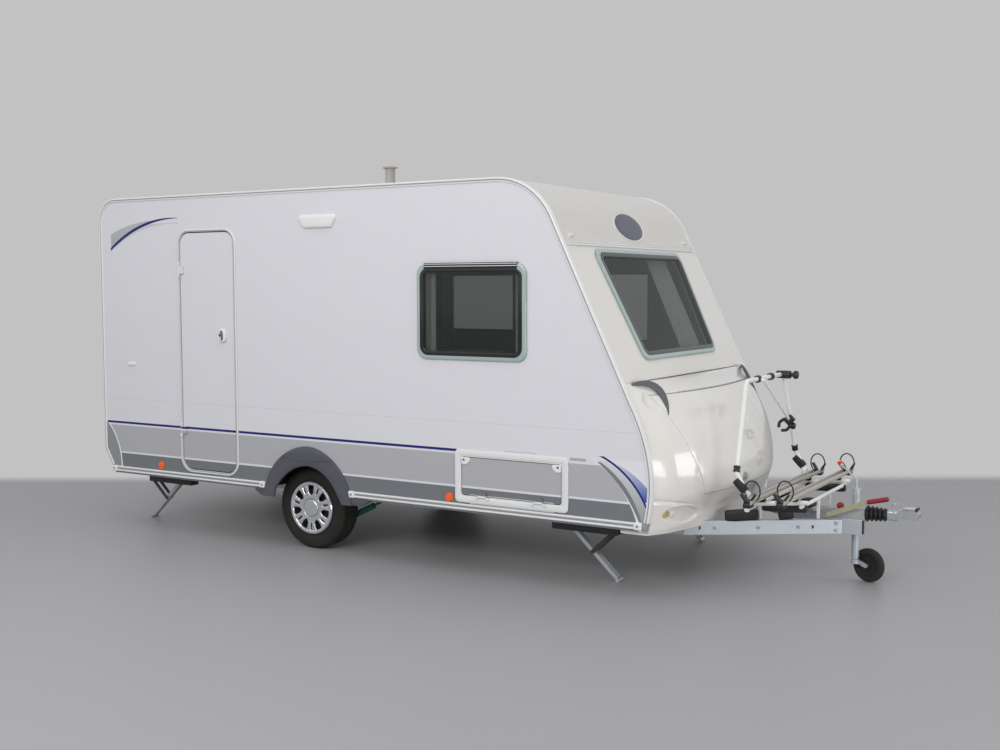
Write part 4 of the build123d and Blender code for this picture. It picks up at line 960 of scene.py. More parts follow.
@dataclass
class Shell(Assembly):
    """Walls, floor, roof and front cap, as packed or with their edges broken."""

    oval_at: Span = (0.026, 1.216)
    oval_half: Span = (0.225, 0.112)

    def build(self) -> None:
        """Finishes each panel."""
        for node, finish in (
            ("side_wall_right", SIDE_SHEET),
            ("side_wall_left", SIDE_SHEET),
            ("rear_wall", WHITE_SHEET),
            ("floor_panel", PLY),
            ("wheel_boxes", AXLE_BLACK),
            ("locker_bulkhead", WHITE_SHEET),
            ("cabin_furniture", PALE_WOOD),
        ):
            self.paint(node, finish)
        self.crisp("roof_panel", WHITE_SHEET, "roof_sheet", 0)
        # The front cap takes the darker copy of the gel coat: painted shade.
        self.crisp("front_cap", SHADED_CAP_GEL_COAT, "front_sheet", 0)
        self.crisp("front_panel", GEL_COAT, "front_sheet", 0)
        self.crisp("roof_fittings", VENT_GREY, "roof_plastic", 4)
        rim = [(1.0, -0.002), (1.0, 0.003), (0.985, 0.0045), (0.95, 0.0048), (0.93, 0.0030), (0.90, 0.0026)]
        self.oval("front_oval", rim, GEL_COAT)
        self.oval("front_oval_plate", [(0.90, 0.0), (0.90, 0.0040), (0.885, 0.0046), (0.60, 0.0048)], SLATE)

    def oval(self, name: str, steps: list, finish: Finish) -> None:
        """A bare pressed oval on the front cap; its steps are (share of its size, height)."""
        ring = round_section(1.0, 96) * np.array(self.oval_half)
        rings = [SLOPE_FACE.lift(np.array(self.oval_at) + ring * share, height) for share, height in steps]
        self.add(stack_rings(name, np.array(rings), sharp=60), finish, "front_sheet")


def arc_x(share: np.ndarray, centre: np.ndarray, side: np.ndarray, half: float) -> np.ndarray:
    """How far forward a level section of the nose reaches.

    The law is centre - (centre - side) * share cubed at three marks; between them run one
    wide circle through the middle and a tighter circle at each corner.

    Args:
        share: Distance from the middle line over the half width, any shape.
        centre: Forward reach on the middle line.
        side: Forward reach at the side.
        half: Half the width.
    """

    def law(mark: float) -> np.ndarray:
        return centre - (centre - side) * mark**3

    corner, turn = 0.86, 0.955
    y = np.abs(share) * half
    drop = centre - law(corner)
    wide = ((corner * half) ** 2 + drop**2) / (2 * drop)
    middle = centre - wide + np.sqrt(np.maximum(wide**2 - y**2, 0))
    ax, ay, bx, by, cx, cy = law(corner), corner * half, law(turn), turn * half, side, half
    lean = 2 * (ax * (by - cy) + bx * (cy - ay) + cx * (ay - by))
    sa, sb, sc = ax**2 + ay**2, bx**2 + by**2, cx**2 + cy**2
    ox = (sa * (by - cy) + sb * (cy - ay) + sc * (ay - by)) / lean
    oy = (sa * (cx - bx) + sb * (ax - cx) + sc * (bx - ax)) / lean
    tight = np.hypot(ax - ox, ay - oy)
    end = ox + np.sqrt(np.maximum(tight**2 - (y - oy) ** 2, 0))
    return np.where(np.abs(share) <= corner, middle, end)


def through(x: np.ndarray, marks: tuple, values: tuple) -> np.ndarray:
    """A smooth curve through marks: cubic pieces whose slopes are the marks' mean slopes."""
    marks, values = np.array(marks), np.array(values)
    slopes = np.gradient(values, marks)
    index = np.clip(np.searchsorted(marks, x) - 1, 0, len(marks) - 2)
    span = marks[index + 1] - marks[index]
    t = (x - marks[index]) / span
    return (
        (1 + 2 * t) * (1 - t) ** 2 * values[index]
        + t * (1 - t) ** 2 * span * slopes[index]
        + t**2 * (3 - 2 * t) * values[index + 1]
        - t**2 * (1 - t) * span * slopes[index + 1]
    )


def ease(value: np.ndarray, low: float, high: float) -> np.ndarray:
    """Nought below low, one above high, with a smooth S between."""
    t = np.clip((value - low) / (high - low), 0, 1)
    return t * t * (3 - 2 * t)


@dataclass
class Nose(Assembly):
    """The glass-fibre nose with its locker lid, both drawn from one surface."""

    marks: tuple = (0.385, 0.500, 0.620, 0.720, 0.830, 0.970, 1.080, 1.155, 1.225, 1.290)
    centre: tuple = (2.845, 2.885, 2.935, 2.936, 2.912, 2.866, 2.806, 2.758, 2.672, 2.520)
    side: tuple = (2.636, 2.655, 2.671, 2.672, 2.662, 2.622, 2.574, 2.542, 2.512, 2.482)
    half: float = 1.0195
    lid_z: Span = (0.600, 1.212)
    lid_half: Span = (0.632, 0.850)
    seam: float = 0.004
    skin: float = 0.010
    back: float = 2.460
    lamp_at: Span = (0.791, 0.492)
    palm_at: Span = (0.868, 1.180)
    lock_at: Span = (-0.164, 0.653)

    def surface(self, y: np.ndarray, z: np.ndarray) -> np.ndarray:
        """Points of the outer skin at given y and z.

        The forward reach comes from the level sections. The bumper crease, the lamp pockets
        and the hand recesses are pressed into it as smooth hollows.
        """
        middle, side = through(z, self.marks, self.centre), through(z, self.marks, self.side)
        reach, out = arc_x(y / self.half, middle, side, self.half), np.abs(y)
        crease = np.interp(out, (0.62, 0.68, 0.93, 1.05), (0.528, 0.538, 0.587, 0.607))
        reach = reach - 0.006 * np.exp(-(((z - crease) / 0.0055) ** 2)) * ease(out, 0.62, 0.80)
        reach = reach + 0.007 * ease(crease - z, 0.0, 0.03) * ease(out, 0.62, 0.80) * ease(z, 0.385, 0.42)
        turn = math.atan2(0.037, 0.324)
        beyond, above = out - self.lamp_at[0], z - self.lamp_at[1]
        u = beyond * math.cos(turn) + above * math.sin(turn)
        v = -beyond * math.sin(turn) + above * math.cos(turn)
        pocket = np.hypot(u / 0.168, v / 0.056)
        reach = reach - 0.016 * (1 - ease(pocket, 0.78, 1.0)) - 0.004 * (1 - ease(pocket, 0.2, 0.9))
        palm = np.hypot((out - self.palm_at[0]) / 0.092, (z - self.palm_at[1]) / 0.072)
        reach = reach - 0.022 * (1 - ease(palm, 0.35, 1.0))
        return np.stack([reach, y, z], -1)

    def lid_edge(self, z: np.ndarray) -> np.ndarray:
        """Half the lid's width at a height."""
        share = np.clip((z - self.lid_z[0]) / (self.lid_z[1] - self.lid_z[0]), 0, 1)
        return self.lid_half[0] + (self.lid_half[1] - self.lid_half[0]) * share

    def shell_of(self, name: str, points: np.ndarray, keep: np.ndarray) -> Piece:
        """A skin of its own thickness from the kept squares of a grid."""
        rows, columns = points.shape[:2]
        faces = np.array(grid_faces(rows, columns)).reshape(rows - 1, columns - 1, 4)[keep]
        piece = make_object(name, points.reshape(-1, 3), faces.tolist(), 40)
        face_out(piece, 0, 1)
        thicken(piece, "skin", self.skin).use_even_offset = False
        soften(piece, "rolled_rim", 0.0022, 3, 55)
        return piece

    def build(self) -> None:
        """Lays the grid once, keeps the lid's squares for the lid and the rest for the nose."""
        (low, high), gap = self.lid_z, self.seam
        foot, under, lid_rows, over, flank, lid_columns = 3, 48, 76, 12, 48, 90
        z = np.concatenate(
            [
                np.linspace(0.386, 0.4, foot + 1)[:-1],
                np.linspace(0.4, low - gap, under),
                np.linspace(low, high - 0.001, lid_rows),
                np.linspace(high + gap - 0.001, 1.2895, over),
            ]
        )
        edge = self.lid_edge(z)[:, None]
        outer = self.half - 0.0005
        left = -outer + (outer - edge - gap) * np.linspace(0, 1, flank)
        y = np.concatenate([left, edge * np.linspace(-1, 1, lid_columns), -left[:, ::-1]], 1)
        points = self.surface(y, np.repeat(z[:, None], y.shape[1], 1))
        row, column = np.arange(len(z) - 1)[:, None], np.arange(y.shape[1] - 1)[None, :]
        bottom, top, first, last = foot + under, foot + under + lid_rows - 1, flank, flank + lid_columns - 1
        lid = (row >= bottom) & (row < top) & (column >= first) & (column < last)
        ring = (row >= bottom - 1) & (row <= top) & (column >= first - 1) & (column <= last) & ~lid
        nose = self.shell_of("nose_shell", points, ~(lid | ring))
        self.add(nose, GEL_COAT, "moulding", stands_for=("nose_moulding",))
        cover = self.shell_of("locker_lid_shell", points, lid)
        self.add(cover, GEL_COAT, "moulding", stands_for=("locker_lid",))
        self.gasket()
        self.lamps()
        self.lock()
        self.returns()

    def gasket(self) -> None:
        """A grey strip behind the lid's seam."""
        count = 60
        z = np.linspace(*self.lid_z, count)
        edge = self.lid_edge(z)
        down = np.stack([-edge[::-1], z[::-1]], 1)
        low, high = np.full(count - 2, self.lid_z[0] - 0.002), np.full(count - 2, self.lid_z[1] + 0.001)
        across = np.stack([np.linspace(-edge[0], edge[0], count)[1:-1], low], 1)
        top = np.stack([np.linspace(edge[-1], -edge[-1], count)[1:-1], high], 1)
        loop = np.concatenate([down, across, np.stack([edge, z], 1), top])
        spots = self.surface(loop[:, 0], loop[:, 1])
        spots[:, 0] -= 0.0085
        section = round_section(0.0055, 10)
        first = np.array((1.0, 0, 0))
        run = np.roll(spots, -1, 0) - np.roll(spots, 1, 0)
        run /= np.linalg.norm(run, axis=1)[:, None]
        second = np.cross(run, first)
        second /= np.linalg.norm(second, axis=1)[:, None]
        rings = spots[:, None] + section[:, :1] * first + section[:, 1:] * second[:, None]
        rings = np.concatenate([rings, rings[:1]])
        self.add(stack_rings("lid_gasket", rings, caps=False), TRIM_GREY, "moulding")

    def lamps(self) -> None:
        """The front lamp in each pocket: an amber outer end and a clear inner one."""
        for label, shift, wide, finish in (
            ("amber", 0.925, 0.030, AMBER_LENS), ("clear", 0.872, 0.024, CLEAR_LENS)
        ):
            centre = np.array((-shift, self.lamp_at[1] + (shift - self.lamp_at[0]) * 0.114))
            rings = []
            for grow, lift in ((1.0, -0.010), (1.0, 0.004), (0.93, 0.009), (0.7, 0.0115), (0.3, 0.0125)):
                y, z = (centre + round_section(grow, 48) * np.array((wide, 0.021))).T
                rings.append(self.surface(y, z) + np.array((lift, 0, 0)))
            self.pair(stack_rings(f"front_lamp_{label}_right", np.array(rings)), finish, "lamp_lens")

    def lock(self) -> None:
        """The lid's turn knob on its ring."""
        y, z = self.lock_at
        base = float(self.surface(np.array(y), np.array(z))[0])
        profile = [(0.0305, -0.006), (0.0305, 0.003), (0.029, 0.0045), (0.0235, 0.0045), (0.022, 0.002)]
        profile += [(0.0165, 0.002), (0.0165, 0.018), (0.0145, 0.0205)]
        self.add(lathe("lid_lock", profile, (base, y, z), "X", 64), CAST_GREY, "handle_plastic")

    def returns(self) -> None:
        """The nose's sides and floor, which close the moulding against the walls."""
        z = np.linspace(0.386, 1.289, 60)
        front = self.surface(np.full(60, 0.001 - self.half), z) - np.array((0.004, 0, 0))
        back = front.copy()
        back[:, 0] = self.back
        sheet = back[:, None] + (front - back)[:, None] * np.linspace(0, 1, 8)[None, :, None]
        rings = np.concatenate([sheet, (sheet + np.array((0, 0.006, 0)))[:, ::-1]], 1)
        self.pair(stack_rings("nose_return_right", rings), GEL_COAT, "moulding")
        y = np.linspace(-self.half + 0.002, self.half - 0.002, 80)
        front = self.surface(y, np.full(80, 0.389))
        outside = np.abs(y) > 0.69
        front[:, 0] -= np.where(outside, 0.004, 0.016)
        front[:, 2] = np.where(outside, 0.389, 0.413)
        back = front.copy()
        back[:, 0] = self.back
        lift = np.array((0, 0, 0.006))
        rings = np.stack([back, front, front + lift, back + lift], 1)
        self.add(stack_rings("nose_floor", rings), GEL_COAT, "moulding")


def body_path(start_z: float) -> np.ndarray:
    """The body's side outline in X and Z, up the back, over the roof and down the front.

    Straight runs join two arcs, the rear roof edge and the front brow, and one shallow arc
    that runs from the knee through the belly to the foot.
    """
    half_turn = (math.pi / 2 - SIZE.lean) / 2
    run = SIZE.front_curve * math.tan(half_turn)
    corner_x = SIZE.knee[0] - (SIZE.roof - SIZE.knee[1]) * math.tan(SIZE.lean)
    cut = SIZE.rear + SIZE.rear_cut_in * (SIZE.rear_cut_top - start_z) / (SIZE.rear_cut_top - SIZE.bottom)
    rear = [(cut, start_z), (SIZE.rear, SIZE.rear_cut_top)]
    turn = np.linspace(math.pi, math.pi / 2, 14)
    reach = SIZE.rear_curve
    top = np.stack([SIZE.rear + reach + reach * np.cos(turn), SIZE.roof - reach + reach * np.sin(turn)], 1)
    centre = (corner_x - run, SIZE.roof - SIZE.front_curve)
    turn = np.linspace(math.pi / 2, SIZE.lean, 26)
    brow = np.stack(
        [centre[0] + SIZE.front_curve * np.cos(turn), centre[1] + SIZE.front_curve * np.sin(turn)], 1
    )
    knee, belly, foot = np.array(SIZE.knee), np.array(SIZE.belly), np.array(SIZE.foot)
    z = np.linspace(knee[1], start_z, 30)
    spread = (z - belly[1]) * (z - foot[1]) / ((knee[1] - belly[1]) * (knee[1] - foot[1])) * knee[0]
    spread += (z - knee[1]) * (z - foot[1]) / ((belly[1] - knee[1]) * (belly[1] - foot[1])) * belly[0]
    spread += (z - knee[1]) * (z - belly[1]) / ((foot[1] - knee[1]) * (foot[1] - belly[1])) * foot[0]
    return np.concatenate([rear, top, brow, np.stack([spread, z], 1)])


@dataclass
class Trims(Assembly):
    """Edge trims round both sides, skirt rails and wheel spats."""

    proud: float = 0.006
    deep: float = 0.026
    over: float = 0.005
    skirt_z: Span = (0.425, 0.466)
    skirt_x: Span = (-1.925, 2.590)
    skirt_proud: float = 0.012
    arch_rear: float = -0.372
    arch_front: float = 0.433
    arch_outer: tuple = (
        (-0.372, 0.367), (-0.347, 0.447), (-0.303, 0.542), (-0.246, 0.618), (-0.177, 0.676), (-0.100, 0.717),
        (-0.030, 0.741), (0.040, 0.750), (0.112, 0.742), (0.191, 0.713), (0.263, 0.671), (0.325, 0.616),
        (0.372, 0.555), (0.408, 0.482), (0.428, 0.415), (0.437, 0.367),
    )
    arch_inner: tuple = (
        (-0.266, 0.367), (-0.256, 0.408), (-0.235, 0.450), (-0.198, 0.494), (-0.134, 0.548), (-0.065, 0.587),
        (0.009, 0.607), (0.055, 0.610), (0.103, 0.603), (0.179, 0.574), (0.242, 0.527), (0.293, 0.465),
        (0.330, 0.405), (0.350, 0.367),
    )
    spat_proud: float = 0.0225

    def edge_trim(self) -> None:
        """A moulded edge strip: two white beads with a grey infill pressed between them."""
        path = side_face(-1).lift(body_path(self.skirt_z[1]))
        o, d, p = self.over, self.deep, self.proud
        bead = np.array(
            [(o, 0.030), (-0.0005, 0.030), (-0.0005, 0.0), (-d, 0.0), (-d, -0.003), (-d + 0.002, -p + 0.0008)]
            + [(-d + 0.005, -p), (-d + 0.010, -p), (-d + 0.0115, -p + 0.0025), (-d + 0.0175, -p + 0.0025)]
            + [(-d + 0.019, -p), (o - 0.004, -p), (o - 0.001, -p + 0.0015), (o, -p + 0.005)]
        )
        infill = np.array(
            [(0.0112, 0.003), (0.0122, 0.0013), (0.0168, 0.0013), (0.0178, 0.003)]
        ) - np.array((d, p))
        for label, section, finish, stands_for in (
            ("edge_trim_right", bead, TRIM_WHITE, ("body_trims",)),
            ("edge_infill_right", infill, TRIM_GREY, ()),
        ):
            self.pair(carry(label, path, -section, up=(0, -1, 0), sharp=45), finish, "rail_metal", stands_for)

    def skirt_rails(self) -> None:
        """Ribbed rails under the walls: two white ribs, a grey groove and white end caps."""
        low, high = self.skirt_z
        wide, y = high - low, -SIZE.half_width
        p = self.skirt_proud
        ribs = [(0, 0), (0, p * 0.6), (0.0015, p - 0.002), (0.004, p), (0.010, p), (0.013, p - 0.002)]
        ribs += [
            (0.0145, p - 0.006), (wide - 0.0145, p - 0.006), (wide - 0.013, p - 0.002), (wide - 0.010, p)
        ]
        ribs += [(wide - 0.004, p), (wide - 0.0015, p - 0.002), (wide, p * 0.6), (wide, 0)]
        fill = [
            (0.0146, p - 0.007), (0.0150, p - 0.0045), (wide - 0.0150, p - 0.0045), (wide - 0.0146, p - 0.007)
        ]
        runs = (
            ("rear", self.skirt_x[0], self.arch_rear - 0.004),
            ("front", self.arch_front + 0.004, self.skirt_x[1])
        )
        for label, start, end in runs:
            for kind, flat, finish in (("rail", ribs, TRIM_WHITE), ("groove", fill, TRIM_GREY)):
                ring = np.array([(0, y - proud, low + rise) for rise, proud in flat])
                rings = ring + np.linspace(start, end, 24)[:, None, None] * np.array((1, 0, 0))
                self.pair(stack_rings(f"skirt_{kind}_{label}_right", rings, sharp=50), finish, "rail_metal")
            for spot, x in (("a", start), ("b", end)):
                corners = box_corners((x - 0.026, x + 0.026), (low - 0.003, high + 0.003))
                steps = [(0, 0), (0, p), (0.002, p + 0.003), (0.006, p + 0.004)]
                cap = plate(f"skirt_cap_{label}_{spot}_right", side_face(-1), corners, 0.010, steps)
                self.pair(cap, WHITE_PLASTIC, "rail_metal")
                head = [(0.009, 0.0), (0.009, -0.0015), (0.0075, -0.002)]
                centre = (x, y - p - 0.004, (low + high) / 2)
                screw = lathe(f"skirt_screw_{label}_{spot}_right", head, centre, "Y", 24)
                self.pair(screw, TRIM_GREY, "rail_metal")

    def arch_line(self, share: float, count: int = 72) -> np.ndarray:
        """A line round the wheel arch, between its outer edge and its inner lip.

        Both edges run smoothly through their marks: a cubic through each mark and its two
        neighbours, by the length walked from the first mark.

        Args:
            share: Nought at the outer edge, one at the inner lip.
            count: Points along the line.

        Returns:
            Points (x, z) from the rear foot to the front foot.
        """
        edges = []
        for marks in (self.arch_outer, self.arch_inner):
            marks = np.array(marks)
            walked = np.concatenate([[0], np.cumsum(np.linalg.norm(np.diff(marks, axis=0), axis=1))])
            slope = np.gradient(marks, walked, axis=0)
            at = np.linspace(0, walked[-1], count)
            step = np.clip(np.searchsorted(walked, at, side="right") - 1, 0, len(walked) - 2)
            gap = (walked[step + 1] - walked[step])[:, None]
            t = (at - walked[step])[:, None] / gap
            edges.append(
                (2 * t**3 - 3 * t**2 + 1) * marks[step]
                + (t**3 - 2 * t**2 + t) * gap * slope[step]
                + (3 * t**2 - 2 * t**3) * marks[step + 1]
                + (t**3 - t**2) * gap * slope[step + 1]
            )
        return edges[0] + (edges[1] - edges[0]) * share

    def band(self, name: str, lines: list, heights: list, stands_for: tuple[str, ...] = ()) -> None:
        """A moulded band of both spats: lines (x, z) along it, each at its height off the wall."""
        rings = np.array([side_face(-1).lift(line, height) for line, height in zip(lines, heights)])
        piece = stack_rings(name, rings.transpose(1, 0, 2), sharp=40)
        self.pair(piece, SPAT_GREY, "spat_plastic", stands_for)

    def spats(self) -> None:
        """A crowned band round the arch with a rolled inner lip, a brow and flared feet."""
        p = self.spat_proud
        steps = [(0.0, 0.0), (0.0, 0.012), (0.03, 0.018), (0.11, 0.0200), (0.15, 0.0198), (0.19, 0.0183)]
        steps += [(0.24, 0.0195), (0.50, p - 0.001), (0.80, p), (0.93, p - 0.002), (0.985, p - 0.006)]
        steps += [(1.0, p - 0.012), (1.0, 0.0), (0.96, 0.0), (0.96, 0.006), (0.06, 0.0)]
        shares, heights = zip(*steps)
        self.band("spat_right", [self.arch_line(share) for share in shares], heights, ("wheel_spats",))
        feet = (
            ("front", [(0.415, 0.367), (0.520, 0.369), (0.565, 0.392), (0.590, 0.424), (0.415, 0.424)]),
            ("rear", [(-0.330, 0.367), (-0.330, 0.424), (-0.480, 0.424), (-0.450, 0.400), (-0.395, 0.368)]),
        )
        for label, corners in feet:
            steps = [(0.0, -0.020), (0.0, 0.004), (0.002, 0.007), (0.006, 0.008)]
            foot = plate(f"spat_foot_{label}_right", side_face(-1), np.array(corners), 0.016, steps)
            self.pair(foot, SPAT_GREY, "spat_plastic")
        outer = self.arch_line(0.03, 160)
        inside = outer[(outer[:, 0] > -0.185) & (outer[:, 0] < 0.270)]
        share = np.linspace(0, 1, len(inside))[:, None]
        chord = inside[0] + (inside[-1] - inside[0]) * share
        chord[:, 1] -= 0.022 * np.sin(math.pi * share[:, 0])
        shares = (0.0, 0.0, 0.06, 0.5, 0.97, 1.0, 1.0)
        heights = (0.014, 0.021, 0.0245, 0.0258, 0.0258, 0.023, 0.016)
        self.band("spat_brow_right", [inside + (chord - inside) * share for share in shares], heights)

    def build(self) -> None:
        """Builds the trims, the rails and the spats."""
        self.edge_trim()
        self.skirt_rails()
        self.spats()


@dataclass
class Windows(Assembly):
    """Double acrylic panes with pale borders, seals, and the rails they hang from."""

    pane: float = 0.018
    border: float = 0.044
    band: Span = (0.027, 0.056)
    radius: float = 0.070
    rail: float = 0.024
    rail_proud: float = 0.014
    right: tuple = ((1.000, 1.828), (1.398, 2.018))
    left: tuple = (((1.000, 1.828), (1.398, 2.018)), ((-0.180, 0.620), (1.458, 2.018)))
    rear: tuple = ((-0.620, 0.620), (1.400, 1.960))
    front_up: Span = (0.250, 1.030)
    front_half: Span = (0.612, 0.690)
    front_rail: float = 1.076

    def window(self, label: str, face: Face, corners: np.ndarray, stands_for: tuple[str, ...] = ()) -> None:
        """One pane: a pale border with a rounded rim, dark glass inside it, and a seal."""
        edge, pane, (start, end) = self.border, self.pane, self.band
        rim = [(0.003, 0.0005), (0.0, 0.004), (0.0, 0.010), (0.002, 0.0145), (0.006, 0.0172), (0.014, pane)]
        rim += [(edge - 0.006, pane), (edge, pane - 0.001), (edge, 0.0005)]
        glass = [
            (edge + 0.0006, 0.001), (edge + 0.0006, pane - 0.001), (edge + 0.006, pane), (edge + 0.03, pane)
        ]
        seal = [(edge - 0.004, -0.012), (edge - 0.004, 0.0), (edge + 0.012, 0.0), (edge + 0.012, -0.012)]
        ring = [(start, pane - 0.004), (start, pane + 0.0004), (start + 0.002, pane + 0.0010)]
        ring += [(end - 0.002, pane + 0.0010), (end, pane + 0.0004), (end, pane - 0.004)]
        for kind, make, finish, radius, steps in (
            ("border", hoop_plate, ACRYLIC_BORDER, self.radius, rim),
            ("glass", plate, TINTED_ACRYLIC, self.radius, glass),
            ("seal", hoop_plate, BELLOWS_RUBBER, self.radius, seal),
            ("band", hoop_plate, BLACK_GLOSS, self.radius + 0.018, ring),
        ):
            piece = make(f"pane_{kind}_{label}", face, corners, radius, steps)
            self.add(piece, finish, "pane", stands_for=stands_for if kind == "border" else ())

    def rail_skin(
        self, label: str, face: Face, spots: np.ndarray, section: np.ndarray, sharp: float
    ) -> Piece:
        """A rail across a face: its section, (rise, height), stands at each spot along u."""
        rings = [
            face.lift(np.stack([np.full(len(section), x), section[:, 0]], 1), section[:, 1]) for x in spots
        ]
        return stack_rings(f"window_rail_{label}", np.array(rings), sharp=sharp)

    def lintel(self, label: str, face: Face, u: tuple, v: float, stands_for: tuple[str, ...] = ()) -> None:
        """The black rail over a hinged side or rear pane, with two bright beads along it."""
        core = [
            (-0.030, 0.004), (-0.030, 0.0205), (-0.028, 0.0215), (0.004, 0.0215), (0.006, 0.018), (0.006, 0.0)
        ]
        spots = np.linspace(u[0] + 0.062, u[1] - 0.062, 12)
        rail = self.rail_skin(label, face, spots, np.array(core) + np.array((v, 0)), 40)
        self.add(rail, BLACK_PLASTIC, "rail_metal", stands_for=stands_for)
        beads = []
        for up in (-0.0165, -0.002):
            line = face.lift(np.array([(spots[0], v + up), (spots[-1], v + up)]), 0.0212)
            beads.append(tube("bead", line, 0.0026, 10))
        self.add(join(f"window_beads_{label}", beads), TRIM_WHITE, "rail_metal")

    def hanger(self, label: str, face: Face, u: tuple, v: float) -> None:
        """The rail over the front pane: three ribs on a plain web, cut square at its ends."""
        p, w, stretch = self.rail_proud, self.rail, 1.55
        wave = [
            (0.0, 0.0), (0.0, p * 0.55), (0.0015, p * 0.75), (0.0035, p * 0.8), (0.0055, p * 0.75),
            (0.0075, p * 0.45)
        ]
        wave += [(0.0095, p * 0.45), (0.011, p * 0.9), (0.013, p), (0.015, p * 0.9), (0.0165, p * 0.45)]
        wave += [(0.0185, p * 0.45), (0.020, p * 0.8), (0.0215, p * 0.85), (w, p * 0.6), (w, 0.0)]
        section = np.array(wave) * np.array((stretch, 1.0)) + np.array((v, 0))
        self.add(self.rail_skin(label, face, np.linspace(*u, 20), section, 50), TRIM_WHITE, "rail_metal")

    def build(self) -> None:
        """Builds the five windows."""
        u, v = self.right
        self.window("right", side_face(-1), box_corners(u, v), ("windows",))
        self.lintel("right", side_face(-1), u, v[1], ("window_rails",))
        for label, (u, v) in zip(("left_front", "left_rear"), self.left):
            self.window(label, side_face(1), box_corners(u, v))
            self.lintel(label, side_face(1), u, v[1])
        self.window("rear", REAR_FACE, box_corners(*self.rear))
        self.lintel("rear", REAR_FACE, self.rear[0], self.rear[1][1])
        (low, high), (foot, head) = self.front_up, self.front_half
        self.window("front", SLOPE_FACE, np.array([(-foot, low), (foot, low), (head, high), (-head, high)]))
        self.hanger("front", SLOPE_FACE, (-1.0, 1.0), self.front_rail - self.rail * 1.1)


